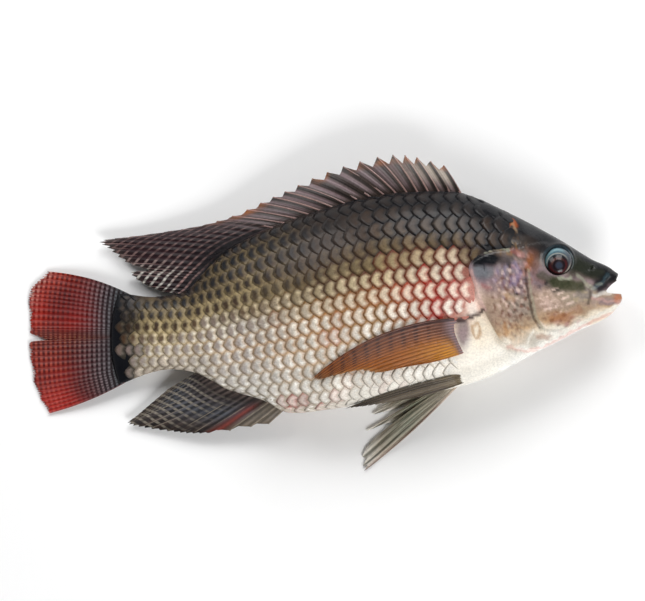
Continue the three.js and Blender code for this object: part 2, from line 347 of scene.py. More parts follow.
# Patches over that: (tone, strength, centre, reach).
HEAD_PATCHES = [
    ("olive", 0.55, (85, 34), (10, 4)), ("umber", 0.6, (98, 35), (10, 4)),
    ("slate", 0.75, (79, 21), (6, 4.5)), ("dusk", 0.7, (103, 27), (4.5, 6)),
    ("mauve", 0.5, (94, 16), (8, 7)), ("steel", 0.4, (90, 22), (6, 4)), ("smoke", 0.6, (98, 3), (7, 8)),
    ("pebble", 0.6, (103.5, 0), (2.5, 9)), ("fawn", 0.5, (88, -3), (8, 6)),
    ("pink", 0.4, (114, 5), (7, 4)), ("pebble", 0.6, (124, 12), (11, 5)),
    ("pebble", 0.5, (121, 5), (12, 7)), ("moss", 0.75, (118, 14.5), (11, 3.6)),
    ("mask", 0.95, (128, 23), (7, 6)), ("ink", 1.0, (141, 22), (11, 6)), ("ink", 0.9, (124, 32), (10, 4)),
    ("smoke", 0.85, (131, 9.5), (7, 4)), ("pebble", 0.5, (123, 7), (6, 3)),
    ("fawn", 0.7, (131, 3), (7, 3)), ("cream", 0.85, (136, -3), (11, 3.6)),
    ("rust", 0.6, (119, -3), (9, 3)), ("pebble", 0.5, (104, -13), (5, 4)),
    ("tan", 0.5, (96, -12), (6, 5)), ("milk", 0.9, (84, -20), (11, 7)), ("stone", 0.6, (78, -6), (4, 6)),
    ("cream", 0.6, (72, -14), (6, 6)), ("pink", 0.5, (70, 12), (5, 8)), ("cream", 0.7, (143, 2), (6, 2)),
    ("mauve", 0.6, (142, 6), (7, 2)),
]

# Patches round the root of the pectoral fin: (tone, strength, centre, reach).
FIN_BASE_PATCHES = [
    ("blush", 0.75, (74, 7), (6, 9)), ("milk", 0.5, (74, 2), (3, 5)), ("cream", 0.9, (78, -9), (5, 10)),
    ("mauve", 0.9, (69.5, -9.5), (4, 9)), ("smoke", 0.5, (68, -5), (4, 3)),
    ("cream", 0.9, (76, -8.5), (2.8, 4.6)),
]

FLECK_SEED = 70
# Flecks scattered in a part of the head: (tone, strength, centre, reach, size of a fleck).
HEAD_FLECKS = [
    ("dusk", 0.8, (94, 8), (13, 20), 3.2), ("bark", 0.6, (97, 12), (9, 22), 2.2),
    ("blush", 0.5, (92, 12), (11, 15), 2.6), ("lilac", 0.35, (91, 16), (10, 11), 4),
    ("pink", 0.6, (99, 24), (7, 9), 2.6), ("rust", 0.4, (101, 22), (5, 10), 3),
    ("ink", 0.8, (118, 14), (13, 5), 3.4), ("blush", 0.7, (116, 6), (11, 8), 2.6),
    ("dusk", 0.6, (117, -3), (13, 5), 2.6), ("copper", 0.6, (90, 33), (11, 6), 2.6),
    ("ink", 0.8, (88, 38), (12, 8), 3), ("stone", 0.5, (93, -8), (9, 7), 3),
    ("dusk", 0.5, (92, -6), (9, 10), 2.2), ("pink", 0.5, (128, -6), (16, 5), 3),
    ("sand", 0.35, (130, 8), (9, 9), 2.6), ("steel", 0.5, (79, 24), (7, 7), 2.6),
    ("orange", 0.7, (93.5, 45), (4.5, 4), 1.8), ("copper", 0.6, (89, 42), (8, 6), 2),
]

# Strokes over the patches: (tone, width, strength, path).
HEAD_STROKES = [
    ("ink", 6.5, 0.9, [(92, 56), (106, 44), (120, 34), (132, 27)]),
    ("ink", 5.2, 1.0, [(76.6, 26.4), (84, 27)]),
    ("ink", 3.6, 0.7, [(88, 27), (92, 26)]),
    ("steel", 3.6, 0.6, [(76, 21), (82, 20)]),
    ("olive", 2.0, 0.6, [(78, 32), (85, 34), (93, 35)]),
    ("lichen", 1.3, 0.5, [(80, 30.5), (86, 32.5), (92, 32)]),
    ("pink", 1.6, 0.7, [(73, 21), (76, 11), (80, 1)]),
    ("rust", 2.6, 0.35, [(103, 28), (102, 24), (100, 20)]),
    ("dusk", 2.4, 0.4, [(106, 24), (105, 19), (109, 16)]),
    ("flesh", 2.2, 0.4, [(94, 31), (99, 29)]),
    ("lilac", 1.8, 0.35, [(95, 25), (97, 20), (95, 15)]),
    ("tan", 2.0, 0.5, [(91, 9), (94, 7)]),
    ("flesh", 1.8, 0.45, [(79, 14), (82, 12.5)]),
    ("dusk", 1.5, 0.5, [(88, 17), (90, 13)]),
    ("fawn", 2.4, 0.5, [(110, 12), (116, 6), (121, 3)]),
    ("blush", 1.6, 0.3, [(108, 9), (113, 4)]),
    ("blush", 1.4, 0.25, [(112, 11), (117, 5)]),
    ("moss", 4.0, 0.85, [(116, 15), (123, 14), (128, 13.2)]),
    ("moss", 3.0, 0.7, [(108, 19), (113, 17)]),
    ("lichen", 1.1, 0.75, [(117.5, 17.6), (123, 17.4)]),
    ("lichen", 1.3, 0.5, [(127, 19), (131, 15), (135, 12)]),
    ("mask", 5.0, 0.8, [(127, 26), (133, 21), (138, 19)]),
    ("ink", 2.4, 0.85, [(121, 35), (131, 28), (142, 22)]),
    ("ink", 5.0, 0.93, [(146, 19.5), (142.5, 17.6), (138, 14)]),
    # A petrol line along the upper lip: a painted highlight.
    ("petrol", 1.6, 0.3, [(142, 19.5), (139, 15.6), (135, 12.6)]),
    ("lichen", 1.1, 0.25, [(136.5, 14.4), (138.3, 14.8)]),
    ("milk", 1.6, 0.5, [(135, 8.7), (139, 10), (143, 10)]),
    ("umber", 0.9, 0.4, [(132, 12.5), (133, 9.4), (131.8, 4.5)]),
    ("pink", 1.2, 0.5, [(134, 7.6), (140, 6.4), (146, 6)]),
    ("mauve", 1.1, 0.6, [(138, 5.2), (144, 4.6), (148, 6)]),
    ("orange", 3.6, 0.5, [(147.4, 7.4), (149.6, 6.6)]),
    ("rust", 3.6, 0.35, [(114, -1.5), (121, -1.8), (127, 1.6)]),
    ("rust", 2.2, 0.5, [(107, -11.5), (113, -12)]),
    ("ochre", 2.0, 0.5, [(91, -10), (90, -6)]),
    ("coral", 1.3, 0.4, [(147, 1.6), (138, -2.4), (128, -7.4), (111, -16.4), (100, -18.6), (92, -16.6)]),
    ("milk", 1.4, 0.6, [(148, 3.6), (138, -0.6), (128, -5.2), (113, -12.6)]),
    ("orange", 1.6, 0.45, [(94, 46.4), (96, 43.8)]),
    ("tan", 0.9, 0.4, [(90, 48), (94, 45), (96.4, 41)]),
    ("taupe", 0.9, 0.6, [(85, 46), (86.5, 47.4), (91, 47)]),
    ("ink", 1.0, 0.85, [(91, 49.4), (97, 47), (98.6, 42.6)]),
    ("bark", 3.0, 0.5, [(88, 44), (95, 40)]),
    ("ink", 0.75, 1.0, [(96.3, 9.8)]),
    ("ink", 0.6, 0.9, [(91, 30.6)]),
    ("ink", 0.7, 0.7, [(80, 22.6)]),
    ("ink", 0.6, 0.6, [(95, 18)]),
]

# The scales change from the back to the belly. Each cross-section from the tail to the shoulder holds
# (share of the height, exposed part, rim, dark centre, strength of that centre).
SCALE_SECTIONS = {
    -80: [
        (0.05, "cream", "pebble", "taupe", 0.5), (0.3, "milk", "sand", "taupe", 0.85),
        (0.48, "wheat", "brass", "walnut", 0.95), (0.66, "brass", "brass", "bark", 1),
        (0.82, "olive", "olive", "ink", 1), (1, "bark", "umber", "ink", 1),
    ],
    -40: [
        (0.06, "white", "stone", "taupe", 0.5), (0.3, "white", "tan", "taupe", 0.8),
        (0.45, "milk", "pebble", "taupe", 0.85), (0.55, "wheat", "olive", "walnut", 0.95),
        (0.65, "olive", "brass", "bark", 1), (0.77, "walnut", "olive", "ink", 1),
        (0.9, "bark", "olive", "ink", 1), (1, "bark", "umber", "ink", 1),
    ],
    -5: [
        (0.05, "white", "stone", "stone", 0.3), (0.3, "white", "tan", "pebble", 0.6),
        (0.42, "milk", "ochre", "pebble", 0.6), (0.52, "cream", "copper", "pebble", 0.65),
        (0.6, "wheat", "walnut", "olive", 0.75), (0.68, "olive", "walnut", "bark", 0.8),
        (0.77, "walnut", "umber", "bark", 0.8), (0.87, "bark", "umber", "ink", 0.8),
        (1, "bark", "ink", "ink", 0.7),
    ],
    28: [
        (0.05, "milk", "milk", "cream", 0.1), (0.25, "white", "tan", "tan", 0.2),
        (0.4, "milk", "copper", "tan", 0.2), (0.5, "cream", "rust", "ochre", 0.25),
        (0.58, "wheat", "oxblood", "brass", 0.3), (0.67, "brass", "walnut", "olive", 0.5),
        (0.75, "olive", "bark", "walnut", 0.5), (0.84, "walnut", "ink", "umber", 0.5),
        (0.95, "bark", "ink", "soot", 0.5),
    ],
    58: [
        (0.05, "milk", "milk", "cream", 0), (0.25, "white", "cream", "cream", 0),
        (0.38, "milk", "brick", "tan", 0), (0.52, "cream", "brick", "coral", 0.1),
        (0.62, "cream", "oxblood", "ochre", 0.2), (0.69, "sand", "oxblood", "dusk", 0.35),
        (0.76, "walnut", "ink", "olive", 0.5), (0.85, "bark", "ink", "umber", 0.5),
        (0.95, "soot", "ink", "bark", 0.4),
    ],
    80: [
        (0.05, "milk", "milk", "cream", 0), (0.3, "milk", "cream", "cream", 0),
        (0.5, "blush", "salmon", "coral", 0), (0.6, "stone", "dusk", "taupe", 0.2),
        (0.7, "walnut", "ink", "olive", 0.5), (0.8, "bark", "ink", "walnut", 0.4),
        (0.95, "soot", "ink", "ink", 0.5),
    ],
}


def scale_tones(xy):
    """The scales' exposed, rim and heart colours at places on the trunk, and how strong the hearts are."""
    places = sorted(SCALE_SECTIONS)
    share = height_share(xy)
    found = []
    for place in places:
        stops = SCALE_SECTIONS[place]
        colours = [ramp(share, [(stop[0], stop[k]) for stop in stops]) for k in (1, 2, 3)]
        strength = np.interp(share, [stop[0] for stop in stops], [stop[4] for stop in stops])
        found.append(np.concatenate(colours + [strength[:, None]], axis=1))
    found = np.array(found)
    at = np.interp(xy[:, 0], places, np.arange(len(places)))
    near = np.minimum(at.astype(int), len(places) - 2)
    mix = (at - near)[:, None]
    every = np.arange(len(xy))
    blended = found[near, every] * (1 - mix) + found[near + 1, every] * mix
    return blended[:, :3], blended[:, 3:6], blended[:, 6:9], blended[:, 9]


# Blood under the scales: (centre, radius, strength on the rims, strength on the scales).
BLOOD = [
    ((62, 22), 6, 0.5, 0.1), ((55, 14), 7, 0.65, 0.15), ((47, 19), 6, 0.5, 0.05), ((60, 5), 6, 1, 0.25),
    ((53, -1), 6, 1, 0.35), ((66, 8), 5, 0.8, 0.2), ((41, 9), 5, 0.35, 0.1), ((33, 22), 7, 0.3, 0.0),
    ((2, -13), 5, 0.6, 0.5), ((9, -7), 4, 0.45, 0.3), ((22, -24), 5, 0.5, 0.2), ((-14, -47), 7, 0.8, 0.7),
    ((4, -46), 7, 0.6, 0.5), ((34, -39), 7, 0.35, 0.35), ((14, -28), 6, 0.3, 0.15),
    ((-22, -3), 5, 0.35, 0.1),
]


# ---- Features of the head ----

GILL_EDGE = [
    (92, 32.6), (84, 31.4), (76, 28.4), (72, 22.6), (74.8, 13.8), (76.8, 6.3), (80.8, -0.5), (84.3, -7.3),
    (88, -12.8), (94, -16.8), (102, -18.4), (110, -18),
]
PREOPERCLE = [(100.5, 22), (101.4, 12.3), (103, 4.6), (104.4, -1.8), (107.8, -7.2)]
CHEEK_EDGE = [(107.8, -7.2), (113, -8.6), (119, -7.6), (130, -1.4)]
GILL_SEAM = [(104.6, -8.6), (102.4, -12), (101.6, -16)]
UPPER_LIP = [(146.8, 18.4), (143.4, 16.8), (139.6, 13.8), (135.6, 11.8)]
LIP_CREASE = [(143.4, 21.6), (140.6, 17.8), (136.4, 14.4), (133.4, 12.6)]
LOWER_LIP = [(149, 7.4), (143, 7.8), (137, 7.6)]
JAW_CREASE = [(133, 12.4), (133.4, 9.4), (132, 4.4)]
FIN_CREASE = [(79, 1.2), (76, -0.6), (69.4, -3.1), (60, -4.2)]
FIN_OVAL = [(76 + 1.9 * math.cos(a), -8.5 + 3.7 * math.sin(a)) for a in np.linspace(0, 2 * math.pi, 12)]
NAPE_NICK = [(91, 46.5), (96, 43)]
EYE_PLACE = (116.8, 25.8)
NOSTRIL = (134.2, 22.2)


# How far the skin stands off along a line, in millimetres: (path, height, reach).
SKIN_LINES = [
    (PREOPERCLE, -0.8, 0.8), (CHEEK_EDGE, -0.35, 0.9), (GILL_SEAM, 0.2, 0.6), (UPPER_LIP, 0.9, 2.6),
    (LIP_CREASE, -0.7, 0.6), (LOWER_LIP, 0.7, 1.8), (JAW_CREASE, -0.6, 0.7), (FIN_CREASE, -0.8, 0.8),
    (NAPE_NICK, -0.7, 1.8),
]
# Soft mounds on the skin: (centre, reach, height).
SKIN_MOUNDS = [((117, 4), (13, 9), 0.9), ((71, -10.5), (5.5, 6.5), 1.3)]


def skin_relief(xy):
    """How far the skin stands off the plain body, in millimetres, at places seen from the side."""
    edge, side = path_distance(finer(GILL_EDGE), xy)
    on_cover = np.where(side > 0, edge, -edge)
    relief = 1.5 * ease(on_cover, -0.3, 1.3) * (1 - ease(edge, 9, 24))
    relief -= 1.1 * bump(on_cover, -0.9, 0.9)
    for path, height, reach in SKIN_LINES:
        relief += height * bump(line_distance(path, xy), 0, reach)
    for centre, reach, height in SKIN_MOUNDS:
        relief += height * bump(apart(xy, centre, reach), 0, 1)
    nostril = apart(xy, NOSTRIL)
    relief += 0.35 * bump(nostril, 1.4, 0.6) - 1.3 * bump(nostril, 0, 0.8)
    eye = apart(xy, EYE_PLACE)
    relief += 0.8 * bump(eye, 8.0, 1.1) - 4.2 * (1 - ease(eye, 5.6, 7.0))
    on_head = ease(xy[:, 0], 76, 84)
    relief += on_head * (0.12 * ripple(xy, 3.2, 11) + 0.25 * ripple(xy, 9, 12))
    return relief


# ---- Body ----


SKIN_STEPS = 176  # points in a ring around the body
RING_SAMPLES = 241  # places at which half a ring is measured before it is evened out


def section_rings(stations):
    """Closed rings over the body, evenly spaced along the skin from the back round to the back again."""
    angle = np.linspace(0, math.pi, RING_SAMPLES)
    half = SKIN_STEPS // 2
    rings = []
    for x in stations:
        up = np.cos(angle)
        middle = float(widest_line(x))
        y = middle + up * np.where(up > 0, back_at(x) - middle, middle - belly_at(x))
        thinned = math.sqrt(min(1, (x - TAIL_END_X + 0.1) / TAIL_TAPER))
        out = half_width_at(x) * fullness(up) * thinned
        length = np.concatenate([[0], np.cumsum(np.hypot(np.diff(y), np.diff(out)))])
        even = np.linspace(0, length[-1], half + 1)
        y, out = np.interp(even, length, y), np.interp(even, length, out)
        level = (y - y.mean()) / (y.max() - y.min()) * 2
        bent = x - TAIL_END_BULGE * ease(-x, 90, 103) * np.clip(1 - level**2, 0, 1)
        height = float(median_height(x))
        right = np.stack([bent, y, height + out], axis=1)
        left = np.stack([bent[1:-1], y[1:-1], height - out[1:-1]], axis=1)[::-1]
        rings.append(np.concatenate([right, left]))
    return np.array(rings)


def point_normals(piece):
    normals = np.empty(len(piece.data.vertices) * 3)
    piece.data.vertices.foreach_get("normal", normals)
    return normals.reshape(-1, 3)


def move_points(piece, points):
    piece.data.vertices.foreach_set("co", (points * MM + np.array(SHIFT)).ravel())
    piece.data.update()


def wedge(name, outline, low, high):
    """A solid with a flat outline, for cutting."""
    count = len(outline)
    points = [(x, y, z) for z in (low, high) for x, y in outline]
    faces = [tuple(range(count))[::-1], tuple(range(count, 2 * count))]
    for i in range(count):
        j = (i + 1) % count
        faces.append((i, j, count + j, count + i))
    cutter = mesh_piece(name, points, faces, False)
    face_out(cutter)
    return cutter


def ball(name, centre, radii, rings=20, sides=28):
    """An ellipsoid whose poles lie along Z."""
    points = []
    for r in range(1, rings):
        turn = math.pi * r / rings
        for s in range(sides):
            spin = 2 * math.pi * s / sides
            unit = (math.sin(turn) * math.cos(spin), math.sin(turn) * math.sin(spin), math.cos(turn))
            points.append([c + u * k for c, u, k in zip(centre, unit, radii)])
    faces = grid_faces(rings - 1, sides, wrap=True)
    points += [[centre[0], centre[1], centre[2] + radii[2]], [centre[0], centre[1], centre[2] - radii[2]]]
    top, bottom, last = len(points) - 2, len(points) - 1, (rings - 2) * sides
    for s in range(sides):
        faces.append((top, (s + 1) % sides, s))
        faces.append((bottom, last + s, last + (s + 1) % sides))
    piece = mesh_piece(name, points, faces)
    face_out(piece)
    return piece


MOUTH_NOTCH = [
    (158, 30), (149, 22.6), (147.3, 20.4), (147.2, 18.6), (146.2, 16.6), (143.9, 14.8), (141.8, 12.9),
    (140.9, 11.2), (141.6, 10.2), (144.5, 9.8), (149.9, 9.4), (158, 9.6),
]
MOUTH_HOLLOW, HOLLOW_RADII = (134, 11.2, MEDIAN_HEIGHT), (10, 3.0, 4.2)
PAINTED_RADII = (10.4, 3.4, 4.6)  # a little more than the hollow's
NOTCH_REACH = 30  # the notch is cut this far to each side of the middle


def cut(piece, cutter):
    change = piece.modifiers.new("cut", "BOOLEAN")
    change.operation, change.solver, change.object = "DIFFERENCE", "MANIFOLD", cutter
    settle(piece)
    remove(cutter)


def settle(piece):
    """Turns the piece with its modifiers into a plain mesh."""
    depsgraph = bpy.context.evaluated_depsgraph_get()
    mesh = bpy.data.meshes.new_from_object(piece.evaluated_get(depsgraph), preserve_all_data_layers=True,
                                           depsgraph=depsgraph)
    old = piece.data
    piece.modifiers.clear()
    piece.data = mesh
    if old.users == 0:
        bpy.data.meshes.remove(old)


def body_stations():
    """Closer together on the head than on the trunk."""
    trunk = np.arange(TAIL_END_X, 68, 1.25)
    head = np.arange(68, SNOUT_X, 0.62)
    return np.concatenate([trunk, head, [SNOUT_X]])


def build_body(settings):
    around = SKIN_STEPS
    rings = section_rings(body_stations())
    points = rings.reshape(-1, 3)
    faces = grid_faces(len(rings), around, wrap=True)
    first, last = rings[0].mean(axis=0), rings[-1].mean(axis=0) + (0.9, 0, 0)
    points = np.concatenate([points, [first, last]])
    end = (len(rings) - 1) * around
    for i in range(around):
        j = (i + 1) % around
        faces.append((len(points) - 2, i, j))
        faces.append((len(points) - 1, end + j, end + i))
    body = mesh_piece("skin", points, faces)
    face_out(body)
    cut(body, wedge("notch", MOUTH_NOTCH, MEDIAN_HEIGHT - NOTCH_REACH, MEDIAN_HEIGHT + NOTCH_REACH))
    cut(body, ball("hollow", MOUTH_HOLLOW, HOLLOW_RADII))
    points, normals = drawing_points(body), point_normals(body)
    flatness = ease(np.abs(normals[:, 2]), 0.1, 0.5)
    inside_mouth = mouth_depth(points)
    relief = skin_relief(points[:, :2]) * flatness * (1 - ease(inside_mouth, 0, 0.5)) * settings.relief
    points = points + normals * relief[:, None]
    points[:, 2] = np.maximum(points[:, 2], SKIN_FLOOR)
    move_points(body, points)
    paint_body(body, points, inside_mouth)
    body.data.materials.clear()
    body.data.materials.append(skin_material())
    body.data.polygons.foreach_set("material_index", [0] * len(body.data.polygons))
    finish(body, "skin", "body")
    return body


def mouth_depth(points):
    """1 on the walls of the open mouth, 0 on the outside."""
    x, _, z = points.T
    notch = line_distance(MOUTH_NOTCH[3:11], points[:, :2])
    width = half_width_at(x) * 0.86
    centre = ease(width - np.abs(z - MEDIAN_HEIGHT), 0.3, 1.2)
    wall = (1 - ease(notch, 0.15, 0.6)) * centre
    hollow = apart(points, MOUTH_HOLLOW, PAINTED_RADII) < 1
    return np.maximum(wall, hollow)


def paint_body(body, points, inside_mouth):
    xy = points[:, :2]
    sideways = ease(np.abs(point_normals(body)[:, 2]), 0.1, 0.5)
    warped, fine = shaken(xy, 0.8, 4, 1), shaken(xy, 0.35, 1.8, 3)
    painted = ramp(height_share(warped), HEAD_RAMP)
    for name, strength, centre, reach in HEAD_PATCHES:
        painted = patch(painted, warped, name, strength, centre, reach)
    for seed, (name, strength, centre, reach, size) in enumerate(HEAD_FLECKS, FLECK_SEED):
        near = 1 - ease(apart(xy, centre, reach), 0.5, 1.2)
        fleck = ease(ripple(xy, size * 0.6, seed), 0.1, 1.1)
        painted = tint(painted, name, strength * near * sideways * fleck)
    for name, width, strength, path in HEAD_STROKES:
        stroked = stroke(painted, fine, name, width, strength, path)
        painted = lerp(painted, stroked, sideways[:, None])
    edge, side = path_distance(finer(GILL_EDGE), xy)
    # A dark ink band on the skin just behind the gill cover's free edge: painted shadow under that edge.
    behind = np.where(side > 0, 5, edge)
    painted = tint(painted, "ink", 0.75 * (1 - ease(behind, 0.5, 1.7)) * ease(xy[:, 1], -19, -4))
    # Painted shade: the skin darkens to bark along the grooves of the preopercle, the cheek's edge and the
    # jaw's crease.
    for path, width, depth in ((PREOPERCLE, 1.0, 0.6), (CHEEK_EDGE, 0.8, 0.2), (JAW_CREASE, 0.7, 0.3)):
        painted = tint(painted, "bark", depth * (1 - ease(line_distance(path, xy), 0.3, width)))
    painted = stroke(painted, xy, "milk", 0.8, 0.6, GILL_SEAM)
    painted = stroke(painted, xy, "lichen", 0.9, 0.4, [(x + 1.5, y) for x, y in PREOPERCLE])
    eye = apart(xy, EYE_PLACE)
    # A petrol ring on the skin round the upper side of the eye: a painted highlight.
    ring = bump(eye, 7.7, 0.5) * ease(xy[:, 1] - xy[:, 0] * 0.2, -6, 4)
    painted = tint(painted, "petrol", 0.35 * ring)
    painted = tint(painted, "ink", 1 - ease(eye, 6.2, 7.2))
    painted = tint(painted, "flesh", inside_mouth * ease(-xy[:, 0], -150, -138))
    under_scales = np.maximum(1 - ease(xy[:, 0], 60, 72), side < 0) * (1 - ease(xy[:, 0], 84, 92))
    painted = lerp(painted, scale_tones(warped)[1], under_scales[:, None])
    painted = tint(painted, "ink", ease(-xy[:, 0], 93, 97))
    for name, strength, centre, reach in FIN_BASE_PATCHES:
        painted = patch(painted, fine, name, strength, centre, reach)
    painted = stroke(painted, fine, "ochre", 1.1, 0.6, FIN_OVAL)
    # A dark plum line along the crease above the pectoral fin's root: painted shadow in the crease.
    painted = stroke(painted, fine, "plum", 1.5, 0.9, FIN_CREASE)
    store(body, "tone", np.clip(painted, 0, 1))


# ---- Scales ----

ROW_LINE = [
    (-101, -12.8), (-79, -12.6), (-61, -11.4), (-45, -8.4), (-20.5, -2), (2, 3.6), (14, 6.2), (26, 8.4),
    (39, 10), (54, 11.3), (78, 12),
]
ROW_PITCH = [(-101, 5.7), (-70, 6.0), (-36, 6.9), (0, 7.8), (40, 8.4), (80, 8.6)]
COLUMN_PITCH = [(-101, 4.7), (-36, 5.2), (20, 5.6), (80, 5.8)]
MAP_COLUMNS, MAP_ROWS = 46, 22  # the span of the scale map, in scales
PLATE_REACH, PLATE_HALF = 1.1, 0.8  # a scale's half length and half height, in scale spacings
PLATE_SET_BACK = 0.45
PLATE_POINT = 1.36  # 1 would make a scale a lozenge, and 2 an oval
NAPE_X = 91  # the scales on the nape end here
LAST_SCALE_X = -103.2  # and those on the tail stalk here
BARE_CENTRE, BARE_REACH, BARE_CREASE = (74.5, -5), (9, 10.5), 2  # the skin round the pectoral fin's root
CHEST_X, CHEST_SHARE = 66, 0.3  # the bare chest starts here, and reaches this share of the height
TAIL_CORNER = (-99, -24)  # no scales behind and below this
OVERLAP_RING = 7  # ring steps by which the scale map laps over the back and the belly


def scale_map(xy, arc):
    """Where a place on the flank lies in the rows of scales, as shares of the whole map."""
    x, y = xy[:, 0], xy[:, 1]
    row_at = smooth(ROW_LINE)
    slope = (row_at(x + 1) - row_at(x - 1)) / 2
    foot = x + (y - row_at(x)) * slope * 0.85
    grid = np.linspace(TAIL_END_X - 20, SNOUT_X, 600)
    counted = np.concatenate([[0], np.cumsum(np.diff(grid) / smooth(COLUMN_PITCH)(grid[1:]))])
    column = np.interp(foot, grid, counted)
    row = arc * np.cos(np.arctan(slope)) / smooth(ROW_PITCH)(foot)
    return np.stack([column / MAP_COLUMNS, row / MAP_ROWS + 0.5], axis=1)


def flank_guide(side):
    """A bare sheet over one flank that carries the map by which the scales are laid."""
    stations = np.arange(TAIL_END_X + 0.4, 98, 1.6)
    steps = np.arange(-OVERLAP_RING, SKIN_STEPS // 2 + OVERLAP_RING + 1) * side
    keep = section_rings(stations)[:, steps % SKIN_STEPS]
    gaps = np.linalg.norm(np.diff(keep, axis=1), axis=2)
    length = np.concatenate([np.zeros((len(keep), 1)), np.cumsum(gaps, axis=1)], axis=1)
    row_y = smooth(ROW_LINE)(stations)
    inner = slice(OVERLAP_RING, -OVERLAP_RING)
    at_line = np.array([
        np.interp(-y, -ring[inner, 1], run[inner]) for y, ring, run in zip(row_y, keep, length)
    ])
    arc = (at_line[:, None] - length).ravel()
    guide = mesh_piece("flank_guide", keep.reshape(-1, 3), grid_faces(*keep.shape[:2]))
    middle = guide.data.polygons[len(keep) // 2 * (keep.shape[1] - 1) + keep.shape[1] // 2]
    if middle.normal.z * side < 0:
        guide.data.flip_normals()
    xy = keep.reshape(-1, 3)[:, :2]
    column = np.tile(np.arange(keep.shape[1]), len(keep))
    proper = (column >= OVERLAP_RING) & (column <= keep.shape[1] - 1 - OVERLAP_RING)
    store(guide, "scaly", proper * scaly_part(xy))
    near_tail = 1 - 0.6 * (1 - ease(xy[:, 0], -100, -88))
    higher_up = ease(height_share(xy) - 0.004 * xy[:, 0], 0.0, 0.34)
    store(guide, "bold", near_tail * (0.16 + 0.84 * higher_up))
    store_map(guide, "lay", scale_map(xy, arc))
    return guide


def scaly_part(xy):
    """1 where scales grow: behind the gill cover, and over the nape."""
    _, side = path_distance(finer(GILL_EDGE), xy)
    behind = (side < 0) | (xy[:, 0] < 70)
    x, y = xy.T
    fin_base = apart(xy, BARE_CENTRE, BARE_REACH) < 1
    crease = line_distance(FIN_CREASE, xy) < BARE_CREASE
    chest = (x > CHEST_X) & (height_share(xy) < CHEST_SHARE)
    tail_corner = (x < TAIL_CORNER[0]) & (y < TAIL_CORNER[1])
    bare = fin_base | crease | chest | tail_corner
    return (behind & (x < NAPE_X) & (x > LAST_SCALE_X) & ~bare).astype(float)


def scale_plate():
    """One scale, in spacings of the scale map: its rear edge stands up and its front slides under."""
    steps, lengths = 8, 4
    points, plate = [], []
    for i in range(steps + 1):
        across = math.sin(math.radians(-80 + 160 * i / steps))
        half = (1 - abs(across) ** PLATE_POINT) ** (1 / PLATE_POINT) * PLATE_REACH
        front = min(PLATE_SET_BACK + half, 0.85)
        rear = PLATE_SET_BACK - half
        for j in range(lengths + 1):
            x = lerp(rear, front, j / lengths)
            behind = (x - (PLATE_SET_BACK - PLATE_REACH)) / PLATE_REACH
            lift = 0.95 - 0.62 * behind - 0.9 * max(0, behind - 0.9) - 0.12 * across * across
            points.append((x, across * PLATE_HALF, lift))
            plate.append((x, across * PLATE_HALF))
    base = len(points)
    for i in range(steps + 1):
        x, y, lift = points[i * (lengths + 1)]
        points.append((x + 0.05, y * 0.98, lift - 1.1))
        plate.append((x, y))
    faces = grid_faces(steps + 1, lengths + 1)
    for i in range(steps):
        faces.append((i * (lengths + 1), (i + 1) * (lengths + 1), base + i + 1, base + i))
    mesh = bpy.data.meshes.new("scale_plate")
    mesh.from_pydata(points, [], faces)
    mesh.polygons.foreach_set("use_smooth", [True] * len(mesh.polygons))
    piece = bpy.data.objects.new("scale_plate", mesh)
    bpy.context.scene.collection.objects.link(piece)
    if mesh.polygons[0].normal.z < 0:
        mesh.flip_normals()
    store(piece, "plate", [(x, y, 0) for x, y in plate])
    return piece


# ---- Node trees ----


class Wire:
    """A node's output that can be reckoned with: each sum or product of wires adds a Math node."""

    def __init__(self, tree, socket):
        self.tree, self.socket = tree, socket

    def __add__(self, other):
        return self.tree.math("ADD", self, other)

    def __sub__(self, other):
        return self.tree.math("SUBTRACT", self, other)

    def __rsub__(self, other):
        return self.tree.math("SUBTRACT", other, self)

    def __mul__(self, other):
        return self.tree.math("MULTIPLY", self, other)

    def __truediv__(self, other):
        return self.tree.math("DIVIDE", self, other)

    __radd__, __rmul__ = __add__, __mul__


